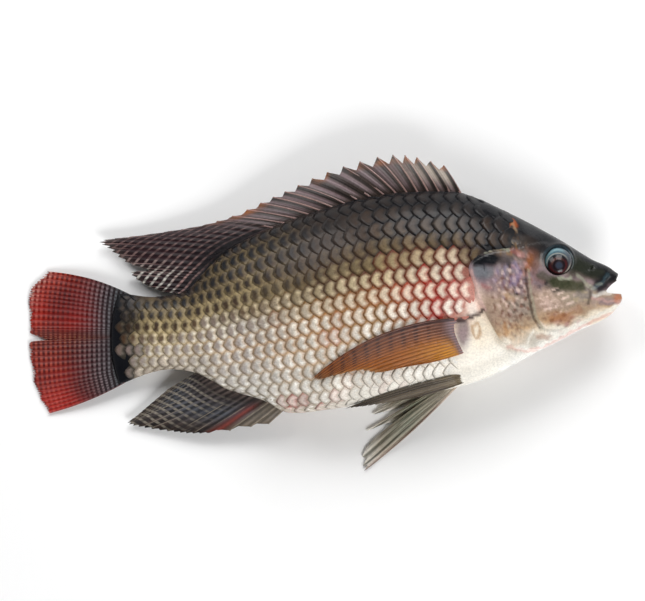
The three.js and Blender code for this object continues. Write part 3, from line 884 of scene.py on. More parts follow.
class Tree:
    """A short way to write a node tree, in which values are numbers or wires."""

    def __init__(self, tree):
        self.tree = tree

    def node(self, kind, inputs=None, **settings):
        made = self.tree.nodes.new(kind)
        for name, value in settings.items():
            setattr(made, name, value)
        for key, value in (inputs or {}).items():
            self.feed(made.inputs[key], value)
        return made

    def out(self, kind, inputs=None, output=0, **settings):
        """Adds a node and gives one of its outputs."""
        return Wire(self, self.node(kind, inputs, **settings).outputs[output])

    def feed(self, socket, value):
        if isinstance(value, Wire):
            self.tree.links.new(value.socket, socket)
        elif value is not None:
            socket.default_value = value

    def math(self, operation, a, b=None):
        return self.out("ShaderNodeMath", {0: a, 1: b}, operation=operation)

    def vector(self, operation, a, b=None, output=0):
        return self.out("ShaderNodeVectorMath", {0: a, 1: b}, output, operation=operation)

    def parts(self, vector):
        split = self.node("ShaderNodeSeparateXYZ", {0: vector})
        return [Wire(self, socket) for socket in split.outputs]

    def together(self, x, y, z):
        return self.out("ShaderNodeCombineXYZ", {0: x, 1: y, 2: z})

    def soft_step(self, value, low, high):
        return self.out("ShaderNodeMapRange", {0: value, 1: low, 2: high}, interpolation_type="SMOOTHSTEP")

    def mix(self, share, a, b):
        """A colour between two others."""
        return self.out("ShaderNodeMix", {0: share, 6: a, 7: b}, 2, data_type="RGBA", blend_type="MIX")

    def shaded(self, tone, value):
        """A colour made darker or lighter by a factor."""
        return self.vector("MULTIPLY", tone, self.together(value, value, value))

    def noise(self, scale, detail=2.0):
        place = self.out("ShaderNodeTexCoord", output="Object")
        return self.out("ShaderNodeTexNoise", {"Vector": place, "Scale": scale, "Detail": detail})

    def kept(self, name, data_type="FLOAT_VECTOR"):
        """An attribute of the geometry that a tree works on."""
        return self.out("GeometryNodeInputNamedAttribute", {0: name}, data_type=data_type)

    def keep(self, geometry, name, value, data_type="FLOAT_VECTOR"):
        """Stores an attribute on every point."""
        return self.out("GeometryNodeStoreNamedAttribute", {0: geometry, "Name": name, "Value": value},
                        data_type=data_type, domain="POINT")

    def random(self, low, high, seed, number=None, data_type="FLOAT"):
        """Chance values from low to high: one each, or one for each number."""
        first, output = (0, 0) if data_type == "FLOAT_VECTOR" else (2, 1)
        return self.out("FunctionNodeRandomValue", {first: low, first + 1: high, 7: number, 8: seed}, output,
                        data_type=data_type)


def new_tree(kind, name, inputs, outputs):
    """A node group with named inputs (name, socket type, default) and outputs (name, socket type)."""
    group = bpy.data.node_groups.new(name, kind)
    for title, socket, default in inputs:
        made = group.interface.new_socket(name=title, in_out="INPUT", socket_type=socket)
        if default is not None:
            made.default_value = default
    for title, socket in outputs:
        group.interface.new_socket(name=title, in_out="OUTPUT", socket_type=socket)
    tree = Tree(group)
    given = {socket.name: Wire(tree, socket) for socket in tree.node("NodeGroupInput").outputs}
    return group, tree, given, tree.node("NodeGroupOutput").inputs


def run_tree(piece, group, values):
    """Puts a geometry tree on a piece, sets its inputs by their names, and makes the result a plain mesh."""
    change = piece.modifiers.new(group.name, "NODES")
    change.node_group = group
    for item in group.interface.items_tree:
        if item.item_type == "SOCKET" and item.in_out == "INPUT" and item.name in values:
            change[item.identifier] = values[item.name]
    settle(piece)


def on_guide(tree, guide, map_name, place, value, data_type="FLOAT_VECTOR", output=0):
    """A value of the guide at a place of its map; output 1 tells whether the place is on the map."""
    mesh = tree.out("GeometryNodeObjectInfo", {0: guide}, "Geometry")
    sample = tree.node("GeometryNodeSampleUVSurface", data_type=data_type)
    for socket, fed in zip(sample.inputs, (mesh, value, tree.kept(map_name), place)):
        tree.feed(socket, fed)
    return Wire(tree, sample.outputs[output])


def scales_tree():
    """Lays one plate at each place of the map's staggered rows, and wraps it over the guide."""
    group, tree, given, out = new_tree(
        "GeometryNodeTree",
        "lay_scales",
        [
            ("Geometry", "NodeSocketGeometry", None), ("Guide", "NodeSocketObject", None),
            ("Plate", "NodeSocketObject", None), ("Columns", "NodeSocketInt", MAP_COLUMNS),
            ("Rows", "NodeSocketInt", MAP_ROWS), ("Lift", "NodeSocketFloat", 0.0003),
            ("Unevenness", "NodeSocketFloat", 0.05), ("Seed", "NodeSocketInt", 7),
            ("Material", "NodeSocketMaterial", None),
        ],
        [("Geometry", "NodeSocketGeometry")],
    )
    columns, rows, loose = given["Columns"], given["Rows"], given["Unevenness"]

    def sampled(at, value, data_type="FLOAT_VECTOR", output=0):
        across, up, _ = tree.parts(at)
        on_map = tree.together(across / columns, up / rows, 0.0)
        return on_guide(tree, given["Guide"], "lay", on_map, value, data_type, output)

    def position():
        return tree.out("GeometryNodeInputPosition")

    grid = tree.out("GeometryNodeMeshGrid", {0: columns - 1.0, 1: rows - 1.0, 2: columns, 3: rows})
    x, y, _ = tree.parts(position())
    column, row = x + columns * 0.5, y + (rows - 1.0) * 0.5
    odd = tree.math("FLOORED_MODULO", tree.math("ROUND", row), 2.0)
    staggered = tree.together(column + odd * 0.5, row, 0.0)
    placed = tree.out("GeometryNodeSetPosition", {0: grid, 2: staggered})
    dots = tree.out("GeometryNodeMeshToPoints", {0: placed})
    here = position()
    seat = sampled(here, position())
    scaly = sampled(here, tree.kept("scaly", "FLOAT"), "FLOAT")
    bare = tree.math("LESS_THAN", scaly * sampled(here, position(), output=1), 0.5)
    grown = tree.out("GeometryNodeDeleteGeometry", {0: dots, 1: bare}, domain="POINT")
    turn = tree.random(tree.together(0.0, 0.0, loose * -1.0), tree.together(0.0, 0.0, loose), given["Seed"],
                       data_type="FLOAT_VECTOR")
    laid = tree.out("GeometryNodeInstanceOnPoints", {
        "Points": tree.keep(grown, "seat", seat),
        "Instance": tree.out("GeometryNodeObjectInfo", {0: given["Plate"]}, "Geometry"),
        "Rotation": turn, "Scale": tree.random(1.0 - loose, 1.0 + loose, given["Seed"]),
    })
    real = tree.out("GeometryNodeRealizeInstances", {0: laid})
    at = position()
    height = tree.parts(at)[2] * given["Lift"] * sampled(at, tree.kept("bold", "FLOAT"), "FLOAT")
    facing = sampled(at, tree.out("GeometryNodeInputNormal"))
    raised = tree.out("ShaderNodeVectorMath", {0: facing, 3: height}, operation="SCALE")
    lifted = tree.vector("ADD", sampled(at, position()), raised)
    missing = tree.math("LESS_THAN", sampled(at, position(), output=1), 0.5)
    whole = tree.keep(real, "missing", missing, "FLOAT")
    wrapped = tree.out("GeometryNodeSetPosition", {0: whole, 2: lifted})
    lost = tree.math("GREATER_THAN", tree.kept("missing", "FLOAT"), 0.5)
    trimmed = tree.out("GeometryNodeDeleteGeometry", {0: wrapped, 1: lost}, domain="POINT")
    tree.feed(out[0], tree.out("GeometryNodeSetMaterial", {0: trimmed, 2: given["Material"]}))
    return group


GRADING = 0.45  # 0 gives a scale one set of colours, and 1 lets them change across it as on the skin
SCALE_CAST = (0.8, 1.08)  # how dark and how light a scale's chance cast may be
CAST_COUNT, CAST_STEPS = 4096, (131, 17)


def read_vectors(piece, name):
    values = np.empty(len(piece.data.vertices) * 3)
    piece.data.attributes[name].data.foreach_get("vector", values)
    return values.reshape(-1, 3)


def build_scales(side, settings, group, material):
    guide, plate = flank_guide(side), scale_plate()
    scales = mesh_piece("scales_right" if side == RIGHT else "scales_left", [(0, 0, 0)], [])
    run_tree(scales, group, {
        "Guide": guide, "Plate": plate, "Lift": settings.scale_lift, "Unevenness": settings.scale_unevenness,
        "Seed": settings.scale_seed, "Material": material,
    })
    remove(guide)
    remove(plate)
    seats = (read_vectors(scales, "seat") - np.array(SHIFT)) / MM
    xy = seats[:, :2]
    own = drawing_points(scales)[:, :2]
    warped = shaken(xy, 1.6, 9, 21) + GRADING * (own - xy)
    face, rim, centre, strength = scale_tones(warped)
    cast = np.random.default_rng(settings.scale_seed).uniform(*SCALE_CAST, CAST_COUNT)
    cell = np.round(xy * 3).astype(int) @ CAST_STEPS % CAST_COUNT
    face = face * cast[cell][:, None]
    for place, radius, on_rims, on_scales in BLOOD:
        away = apart(xy, place)
        near = 1 - ease(away, radius * 0.5, radius * 1.5)
        patchy = np.clip(0.6 + 0.6 * ripple(xy, 5, 31), 0, 1)
        rim = tint(rim, "blood", near * on_rims * patchy)
        face = tint(face, "coral", near * on_scales * patchy * 0.8)
    base = 1 - ease(xy[:, 0] + 2.5 * ripple(xy, 4, 33), -99, -88)
    face, rim = tint(face, "umber", 0.88 * base), tint(rim, "ink", 0.95 * base)
    store(scales, "face", np.clip(face, 0, 1))
    store(scales, "rim", np.clip(rim, 0, 1))
    store(scales, "spot", np.column_stack([np.clip(centre, 0, 1), np.clip(strength, 0, 1)]))
    for name in ("seat", "missing"):
        scales.data.attributes.remove(scales.data.attributes[name])
    points = drawing_points(scales)
    points[:, 2] = np.maximum(points[:, 2], SCALE_FLOOR)
    move_points(scales, points)
    finish(scales, "skin", "body")
    return scales


# ---- Materials ----


def wet_mottle_group():
    """Uneven wetness and a fine mottle: it multiplies a colour and gives a roughness and a height."""
    group, tree, given, out = new_tree(
        "ShaderNodeTree",
        "wet_mottle",
        [
            ("Color", "NodeSocketColor", None), ("Grain", "NodeSocketFloat", 700.0),
            ("Mottle", "NodeSocketFloat", 0.25), ("Wetness", "NodeSocketFloat", 0.5),
        ],
        [("Color", "NodeSocketColor"), ("Roughness", "NodeSocketFloat"), ("Height", "NodeSocketFloat")],
    )
    place = tree.out("ShaderNodeTexCoord", output="Object")
    fine = tree.out("ShaderNodeTexNoise", {"Vector": place, "Scale": given["Grain"], "Detail": 3.0,
                                           "Roughness": 0.6})
    broad = tree.noise(90.0)
    both = (fine - 0.5) * 1.3 + (broad - 0.5) * 0.6
    tree.feed(out[0], tree.shaded(given["Color"], 1.0 + both * (given["Mottle"] * 2.0)))
    tree.feed(out[1], 0.1 + (1.0 - given["Wetness"]) * 0.36 + (broad - 0.45) * 0.25)
    tree.feed(out[2], fine + broad * 1.5)
    return group


def shared(name, make):
    """A node group that is built once."""
    return bpy.data.node_groups.get(name) or make()


def new_material(name, coat, coat_roughness, specular):
    """A material whose surface has a wet coat, as a share and a roughness, and a plain shine below it."""
    material = bpy.data.materials.new(name)
    material.use_nodes = True
    shader = material.node_tree.nodes["Principled BSDF"]
    shader.inputs["Coat Weight"].default_value = coat
    shader.inputs["Coat Roughness"].default_value = coat_roughness
    shader.inputs["Specular IOR Level"].default_value = specular
    return material, Tree(material.node_tree), shader


def wet_surface(tree, shader, tone, grain, mottle, wetness=0.5):
    """Colours and wets a surface through the shared mottle, and gives the mottle's height."""
    wet = tree.node("ShaderNodeGroup", node_tree=shared("wet_mottle", wet_mottle_group))
    for name, value in (("Color", tone), ("Grain", grain), ("Mottle", mottle), ("Wetness", wetness)):
        tree.feed(wet.inputs[name], value)
    tree.feed(shader.inputs["Base Color"], Wire(tree, wet.outputs[0]))
    tree.feed(shader.inputs["Roughness"], Wire(tree, wet.outputs[1]))
    return Wire(tree, wet.outputs[2])


def attribute(tree, name, output="Color"):
    return tree.out("ShaderNodeAttribute", output=output, attribute_name=name)


def roughen(tree, shader, height, strength, distance_mm):
    bumps = {"Strength": strength, "Distance": distance_mm * MM, "Height": height}
    tree.feed(shader.inputs["Normal"], tree.out("ShaderNodeBump", bumps))


def skin_material():
    material, tree, shader = new_material("wet_skin", 0.1, 0.06, 0.16)
    height = wet_surface(tree, shader, attribute(tree, "tone"), 900.0, 0.28, 0.6)
    roughen(tree, shader, height, 0.35, 0.25)
    return material


def scale_material():
    """Each scale has a darker rim, partly its own colour and partly painted shade towards its outline,
    painted shadow mixed with pigment where the scales ahead lie over it, a dark heart on the back, and fine
    growth rings and spokes.
    """
    material, tree, shader = new_material("wet_scale", 0.08, 0.08, 0.18)
    x, y, _ = tree.parts(attribute(tree, "plate", "Vector"))
    ahead, across = (x - PLATE_SET_BACK) / PLATE_REACH, y / PLATE_HALF
    shaky = (tree.noise(520.0) - 0.5) * 0.26

    def outline_share(forward, upward):
        """0 at the middle of a plate this far ahead and above, 1 on its outline, and more outside it."""
        ways = ahead - forward / PLATE_REACH, tree.math("ABSOLUTE", across) - upward / PLATE_HALF
        powers = [tree.math("POWER", tree.math("ABSOLUTE", way), PLATE_POINT) for way in ways]
        return tree.math("POWER", powers[0] + powers[1], 1 / PLATE_POINT)

    own_outline = outline_share(0.0, 0.0) + shaky
    # The rim darkens from the middle of the scale to its outline: partly the scale's own darker margin and
    # partly painted shade over its curve.
    rim = tree.soft_step(own_outline, 0.56, 0.95) - tree.soft_step(own_outline, 0.95, 1.0) * 0.2
    # Painted shadow mixed with pigment: the scale darkens towards its rim colour where the rear edges of the
    # scales ahead lie over it.
    overlap = tree.math("MINIMUM", outline_share(1.0, 0.0), outline_share(0.5, 1.0))
    under = 1.0 - tree.soft_step(overlap + shaky, 0.98, 1.38)
    in_heart = tree.vector("LENGTH", tree.together((x + 0.14) / 0.44, y / 0.56, 0.0), output=1)
    heart = (1.0 - tree.soft_step(in_heart + shaky * 4.0, 0.2, 1.2)) * attribute(tree, "spot", "Alpha")
    tone = tree.mix(rim, attribute(tree, "face"), attribute(tree, "rim"))
    tone = tree.mix(heart, tone, attribute(tree, "spot"))
    tone = tree.mix(under * 0.85, tone, attribute(tree, "rim"))
    mottle_height = wet_surface(tree, shader, tone, 1300.0, 0.45)
    rings = tree.math("SINE", own_outline * 90.0)
    spokes = tree.math("SINE", tree.math("ARCTAN2", across, ahead) * 38.0)
    roughen(tree, shader, rings * 0.12 + spokes * 0.2 + mottle_height * 0.35, 0.3, 0.15)
    return material


def fin_material(name, rays, spacing, wavering, thin):
    """Streaks along the rays, and pale spots in bars across them, spacing millimetres apart."""
    material, tree, shader = new_material(name, 0.06, 0.12, 0.18)
    t, _, _ = tree.parts(tree.out("ShaderNodeUVMap", uv_map="fan"))
    shaken = (tree.noise(160.0) - 0.5) * wavering
    turn = 2 * math.pi
    ray_wave = tree.math("COSINE", t * (turn * rays))
    fine_wave = tree.math("COSINE", (t + shaken * 0.004) * (turn * rays * 5))
    bar_wave = tree.math("COSINE", attribute(tree, "far", "Fac") * (turn / spacing) + shaken * 5.0)
    on_bar = tree.soft_step(bar_wave, thin - 0.45, thin + 0.35)
    between = 0.25 + 0.75 * tree.soft_step(ray_wave, -0.5, 0.7)
    spots = on_bar * between * attribute(tree, "light", "Alpha")
    tone = tree.mix(spots, attribute(tree, "tone"), attribute(tree, "light"))
    tone = tree.shaded(tone, 0.82 + fine_wave * 0.09 + ray_wave * -0.22)
    height = wet_surface(tree, shader, tone, 800.0, 0.25)
    roughen(tree, shader, fine_wave * 0.5 + height * 0.4, 0.4, 0.12)
    return material


def ray_material(name):
    material, tree, shader = new_material(name, 0.15, 0.12, 0.3)
    height = wet_surface(tree, shader, attribute(tree, "tone"), 600.0, 0.3)
    roughen(tree, shader, height, 0.3, 0.1)
    return material


# ---- Fins ----

# Key rays from the leading one to the last: (root x, root y, tip x, tip y, bow). They are the packed
# model's, apart from the tail's roots, which there reach a little further into and around the body.
SPINY_DORSAL = [
    (70, 57.5, 60.5, 74, 0.4), (58.5, 58.5, 46, 78.2, 0.5), (47, 58.5, 33, 79.2, 0.6), (36, 58, 15, 75, 0.8),
    (22.5, 56, -2, 69, 0.8), (10, 52.3, -17, 62, 0.8), (-3, 49, -30, 56, 0.6), (-15.5, 44.8, -45, 49, 0.5),
]
SOFT_DORSAL = [
    (-27, 39.8, -63, 43.8, 1.2), (-36, 36, -92, 39.2, 1.6), (-43, 32.5, -112, 36.5, 1),
    (-49.5, 27.8, -108, 32.5, 0), (-55, 22.8, -99, 25.5, 0), (-58.5, 19.3, -88.5, 21.6, 0),
    (-61, 16.6, -97, 20.6, 0), (-64.5, 12.6, -91, 15, 0), (-68, 9.6, -81, 10.6, 0),
]
TAIL = [
    (-97, 9.4, -139.5, 21, 2.4), (-97.5, 4, -148, 12, 1.4), (-98, -2, -149, 4, 0.8),
    (-98, -8, -148, -7, 0.3), (-98, -10.6, -148, -10.2, 0), (-98, -11.8, -139.5, -13.8, 0),
    (-98, -13, -148.6, -15, 0), (-98, -20, -147.8, -24, -0.4), (-98, -26.5, -146, -35.5, -0.8),
    (-97.5, -30, -142.5, -44, -1), (-97, -33, -138.5, -50.5, -1.6),
]
ANAL = [
    (-19, -47.2, -27.5, -55.5, 0), (-22.5, -44.5, -39.5, -57.5, 0), (-27.5, -41.5, -54, -60, 0),
    (-34, -40, -66.5, -60.5, -0.5), (-40, -38.7, -77.5, -59.5, -0.6), (-45.5, -36.8, -90.5, -57.6, -0.6),
    (-50.5, -34, -98.5, -55.5, -0.5), (-54.5, -31.2, -94.5, -52, -0.3), (-58, -29, -88, -46.5, 0),
    (-61, -28, -79, -39, 0),
]
PECTORAL_RIGHT = [
    (71.5, -2, -6, -33, 8), (71.5, -5, -2.5, -33.5, 5.5), (71.6, -8.5, 4, -31.5, 3.4),
    (71.8, -12, 17.5, -28.5, 1.6), (72, -15, 27.5, -29.5, 0), (72.2, -18.5, 38.5, -26.5, -1.2),
]
PECTORAL_LEFT = [
    (71.5, -4, -2, -36, 5), (71.5, -7, 2, -36.5, 3.5), (71.6, -10, 8, -35, 2), (71.8, -13, 20, -33, 0.8),
    (72, -16, 30, -34, -0.5), (72.2, -19.5, 41, -31, -1.5),
]
PELVIC_RIGHT = [
    (72.5, -29.6, 11, -47.6, 1.6), (72, -31, 19, -46.6, 1), (71.5, -32.4, 29, -45.2, 0),
    (71, -33.8, 38, -43.4, -1),
]
PELVIC_LEFT = [
    (66, -31, 27.5, -47.5, 0), (66.3, -31.6, 25.5, -51.2, 0), (66.6, -32.2, 40, -47.8, 0),
    (66.9, -32.8, 21.5, -59.3, 0), (67.2, -33.4, 34.5, -55.5, 0), (67.5, -34, 21, -68, 1.5),
    (67.8, -34.6, 19.8, -76, 0.6), (68.1, -35.2, 20.6, -79.6, -1.6),
]
GUIDE_ROWS = 40  # points along the bare sheet that a fin's rays follow
RAY_STEPS, RAY_SIDES = 30, 6  # points along a drawn ray, and around it
SPINE_COUNT = 17
SPINY_SHARE = 0.47  # of the dorsal fin's rays, from its front


def fan(rays, t, along):
    """Places in a fin: t runs from its first ray to its last, and along from root to tip."""
    places = np.linspace(0, 1, len(rays))
    root_x, root_y, tip_x, tip_y, bow = (smooth(list(zip(places, column)))(t) for column in zip(*rays))
    run_x, run_y = tip_x - root_x, tip_y - root_y
    length = np.hypot(run_x, run_y)
    off = 4 * bow * along * (1 - along)
    return np.stack([root_x + run_x * along + run_y / length * off,
                     root_y + run_y * along - run_x / length * off], axis=-1)


def out_of_seat(along):
    """A paired fin comes out of its seat in the first part of its length and then lies on the flank."""
    return lerp(-2.5, 1.1, np.minimum(1, along / 0.13))


def saw(t, count, steep=0.85):
    """0 at each of count teeth and 1 just before the next."""
    phase = np.mod(t * count, 1)
    return np.where(phase < steep, phase / steep, (1 - phase) / (1 - steep))


def dorsal_reach(t):
    spiny = 1 - ease(t, SPINY_SHARE - 0.06, SPINY_SHARE + 0.02)
    notches = lerp(0.22, 0.1, ease(t, 0.1, 0.4)) * saw(t / SPINY_SHARE, SPINE_COUNT - 1, 0.72) * spiny
    ragged = 0.05 * saw(t, 47, 0.5) * (1 - spiny)
    return 1 - notches - ragged


def tail_reach(t):
    ragged = 0.02 * saw(t, 72, 0.5) + 0.012 * (1 + np.sin(61 * t)) + 0.012 * saw(t, 19, 0.3)
    return 1 - ragged - 0.05 * bump(t, 0.5, 0.012)


def anal_reach(t):
    spiny = 1 - ease(t, 0.18, 0.3)
    return 1 - 0.12 * saw(t / 0.25, 3) * spiny - 0.035 * saw(t, 31, 0.5) * (1 - spiny)


def paired_reach(t):
    return 1 - 0.03 * saw(t, 17, 0.5)


def pelvic_reach(t):
    return 1 - 0.05 * saw(t, 9, 0.5)


def plain(name, count):
    return np.tile(TONES[name], (count, 1))


def paint_dorsal(t, along, xy):
    between = np.mod(t / SPINY_SHARE * (SPINE_COUNT - 1), 1)
    tone = ramp(along, [(0, "bark"), (0.3, "umber"), (0.7, "gloom"), (1, "umber")])
    pale = bump(between, 0.62, 0.2) * ease(along, 0.08, 0.35)
    tone = tint(tone, "mauve", 0.75 * pale)
    front = (1 - ease(t, 0.03, 0.17)) * ease(between, 0.1, 0.4) * ease(along, 0.2, 0.6)
    tone = tint(tone, "stone", 0.6 * front)
    # A dark streak just behind each spine: painted shade beside the spine.
    tone = tint(tone, "ink", 0.6 * bump(between, 0.25, 0.12))
    soft = ramp(along, [(0, "ink"), (0.5, "plum"), (0.85, "plum"), (1, "gloom")])
    share = ease(t, 0.42, 0.52)
    tone += (soft - tone) * share[:, None]
    lappet = ease(along, 0.72, 0.9) * (1 - share) * np.clip(0.4 + ripple(xy, 9, 41), 0, 1)
    tone = tint(tone, "rust", 0.7 * lappet)
    strength = share * (0.3 + 0.65 * ease(t, 0.66, 0.85)) * ease(along, 0.04, 0.2)
    light = tint(plain("pink", len(t)), "milk", ease(t, 0.68, 0.85) * ease(along, 0.3, 0.5))
    return tone, light, strength


def paint_tail(t, along, xy):
    tone = ramp(along, [(0, "ink"), (0.3, "plum"), (0.6, "wine"), (0.9, "garnet"), (1, "garnet")])
    uneven = ripple(xy, 13, 51)
    high = bump(t, 0.22, 0.16) * ease(along, 0.2, 0.6)
    low = ease(t, 0.66, 0.9) * ease(along, 0.35, 0.8)
    middle = bump(t, 0.5, 0.11) * ease(along, 0.1, 0.6)
    tone = tint(tone, "blood", 0.55 * high)
    tone = tint(tone, "crimson", 0.7 * low)
    tone = tint(tone, "garnet", 0.5 * middle)
    tone = tint(tone, "plum", 0.5 * np.clip(uneven, 0, 1))
    light = ramp(along, [(0, "steel"), (0.14, "steel"), (0.3, "mauve"), (0.6, "brickdust"), (0.85, "scarlet"),
                         (1, "scarlet")])
    light = tint(light, "crimson", 0.5 * high + 0.3 * low)
    light = tint(light, "peach", 0.75 * middle)
    light = tint(light, "blush", 0.5 * (1 - ease(t, 0.1, 0.3)) * ease(along, 0.84, 0.97))
    return tone, light, (0.9 - 0.25 * np.clip(uneven, -1, 1)) * ease(along, 0.02, 0.06)


def paint_anal(t, along, xy):
    tone = ramp(along, [(0, "taupe"), (0.15, "gloom"), (0.5, "slate"), (0.8, "gloom"), (1, "bark")])
    streaks = np.clip(0.5 + 0.8 * np.sin(t * 95 + 2 * ripple(xy, 16, 61)), 0, 1)
    tone = tint(tone, "ink", 0.65 * streaks)
    front = 1 - ease(t, 0.1, 0.25)
    tone = tint(tone, "pebble", 0.5 * front)
    tone = tint(tone, "brickdust", 0.6 * bump(t, 0.23, 0.035) * ease(along, 0.1, 0.4))
    return tone, plain("stone", len(t)), 0.75 * ease(t, 0.25, 0.7) * ease(along, 0.1, 0.3)


def paint_pectoral(t, along, xy):
    tone = ramp(along, [
        (0, "mauve"), (0.11, "mauve"), (0.16, "dusk"), (0.25, "amber"), (0.9, "amber"), (1, "ochre"),
    ])
    low = ease(t, 0.3, 0.9) * ease(along, 0.1, 0.2)
    tone = tint(tone, "gold", low * (1 - 0.85 * ease(along, 0.25, 0.7)))
    top = (1 - ease(t, 0.1, 0.62)) * ease(along, 0.08, 0.2) * (1 - 0.6 * ease(along, 0.5, 1))
    tone = tint(tone, "dusk", 0.9 * top)
    tone = tint(tone, "plum", 0.85 * (1 - ease(t, 0.03, 0.12)) * (1 - ease(along, 0.3, 0.9)))
    streaks = np.clip(np.sin(t * 92 + ripple(xy, 14, 62)), 0, 1)
    tone = tint(tone, "oxblood", 0.5 * streaks * ease(along, 0.1, 0.2))
    return tone, plain("plum", len(t)), 0.75 * (1 - ease(t, 0.3, 0.6)) * ease(along, 0.15, 0.3)


def paint_pelvic_right(t, along, xy):
    tone = ramp(along, [(0, "stone"), (0.12, "olive"), (0.3, "umber"), (0.8, "umber"), (1, "bark")])
    streaks = np.clip(np.sin(t * 40 + ripple(xy, 20, 63)), 0, 1)
    tone = tint(tone, "ink", 0.6 * streaks)
    tone = tint(tone, "pebble", 0.6 * bump(t, 0.62, 0.16) * ease(along, 0.05, 0.2))
    return tone, plain("tan", len(t)), np.zeros(len(t))


def paint_pelvic_left(t, along, xy):
    tone = ramp(along, [(0, "cream"), (0.2, "stone"), (0.5, "lichen"), (0.8, "stone"), (1, "milk")])
    streaks = np.clip(0.1 + np.sin(t * 58 + 1.5 * ripple(xy, 20, 64)), 0, 1)
    tone = tint(tone, "moss", 0.7 * streaks)
    tone = tint(tone, "flesh", 0.3 * ease(t, 0.9, 1))
    return tone, plain("stone", len(t)), np.zeros(len(t))


def beside(side, rays, grain, columns, rows, drawn, **looks):
    """A paired fin that comes out of its seat and lies on one flank."""
    return {
        "rays": rays, "height": lambda x, y, along: flank_height(x, y, side) + side * out_of_seat(along),
        "grain": grain, "columns": columns, "rows": rows, "drawn": [drawn], "root": 1.0, **looks,
    }


PECTORAL = {"reach": paired_reach, "paint": paint_pectoral, "ray_tone": ("amber", 0.4), "edge": 0.35}

# Each fin: key rays, height, reach of its edge, paint, and its thickness at the root and the edge. Its grain
# is the number of rays, the millimetres between its bars, how much they waver, and how thin they are. Its
# drawn rays are (count, fork, first t, last t, length, root radius, tip radius).
FINS = {
    "dorsal_fin": {
        "rays": SPINY_DORSAL + SOFT_DORSAL,
        "height": lambda x, y, along: median_height(x) - 3.5 * along**2,
        "reach": dorsal_reach, "paint": paint_dorsal, "grain": (30, 4.4, 0.3, 0.65),
        "columns": 560, "rows": 44,
        "drawn": [(SPINE_COUNT, 1, 0.0, SPINY_SHARE, 1.0, 0.75, 0.32), (30, 2, 0.5, 0.985, 0.96, 0.36, 0.16)],
        "ray_tone": ("pink", 0.42), "root": 1.2, "edge": 0.4,
    },
    "tail_fin": {
        "rays": TAIL,
        "height": lambda x, y, along: lerp(TAIL_MEDIAN_HEIGHT, 0.65, along**0.8),
        "reach": tail_reach, "paint": paint_tail, "grain": (36, 2.45, 0.25, 0.1),
        "columns": 640, "rows": 60,
        "drawn": [(72, 2, 0.005, 0.995, 0.985, 0.5, 0.18)],
        "ray_tone": ("brickdust", 0.55), "root": 1.6, "edge": 0.45,
    },
    "anal_fin": {
        "rays": ANAL,
        "height": lambda x, y, along: median_height(x) - 5 * along,
        "reach": anal_reach, "paint": paint_anal, "grain": (20, 4.2, 0.3, 0.55),
        "columns": 300, "rows": 44,
        "drawn": [(3, 1, 0.0, 0.17, 1.0, 0.75, 0.35), (20, 2, 0.27, 0.985, 0.97, 0.5, 0.16)],
        "ray_tone": ("pebble", 0.5), "root": 1.2, "edge": 0.4,
    },
    "pectoral_fin_right": beside(
        RIGHT, PECTORAL_RIGHT, (14, 6.5, 0.3, 0.6), 150, 80, (28, 2, 0.01, 0.99, 0.98, 0.55, 0.14),
        **PECTORAL,
    ),
    "pectoral_fin_left": beside(
        LEFT, PECTORAL_LEFT, (14, 6.5, 0.3, 0.6), 150, 80, (28, 2, 0.01, 0.99, 0.98, 0.55, 0.14),
        **PECTORAL,
    ),
    "pelvic_fin_right": beside(
        RIGHT, PELVIC_RIGHT, (6, 6, 0.3, 0.6), 90, 60, (12, 2, 0.02, 0.98, 0.98, 0.6, 0.16),
        reach=pelvic_reach, paint=paint_pelvic_right, ray_tone=("olive", 0.5), edge=0.4,
    ),
    "pelvic_fin_left": {
        "rays": PELVIC_LEFT,
        "height": lambda x, y, along: lerp(15.5, 0.65, np.minimum(1, along * 1.25) ** 0.75),
        "reach": pelvic_reach, "paint": paint_pelvic_left, "grain": (12, 6, 0.3, 0.6),
        "columns": 160, "rows": 60,
        "drawn": [(22, 2, 0.01, 0.99, 0.98, 0.65, 0.16)],
        "ray_tone": ("stone", 0.4), "root": 1.0, "edge": 0.4,
    },
}


def fin_sheet(fin, t, along):
    """The middle of a fin at places in its fan."""
    xy = fan(fin["rays"], t, along)
    half = lerp(fin["root"], fin["edge"], along) / 2
    height = np.maximum(half + 0.1, fin["height"](xy[..., 0], xy[..., 1], along))
    return np.concatenate([xy, height[..., None]], axis=-1), half


def fin_distance(fin, t, along):
    """How far places of a fin lie from its root, in millimetres."""
    return np.linalg.norm(fan(fin["rays"], t, along) - fan(fin["rays"], t, np.zeros_like(along)), axis=-1)


def fin_grid(columns, rows, reach=None):
    t = np.linspace(0, 1, columns)
    limit = reach(t) if reach else np.ones(columns)
    return np.repeat(t[:, None], rows, axis=1), limit[:, None] * np.linspace(0, 1, rows)


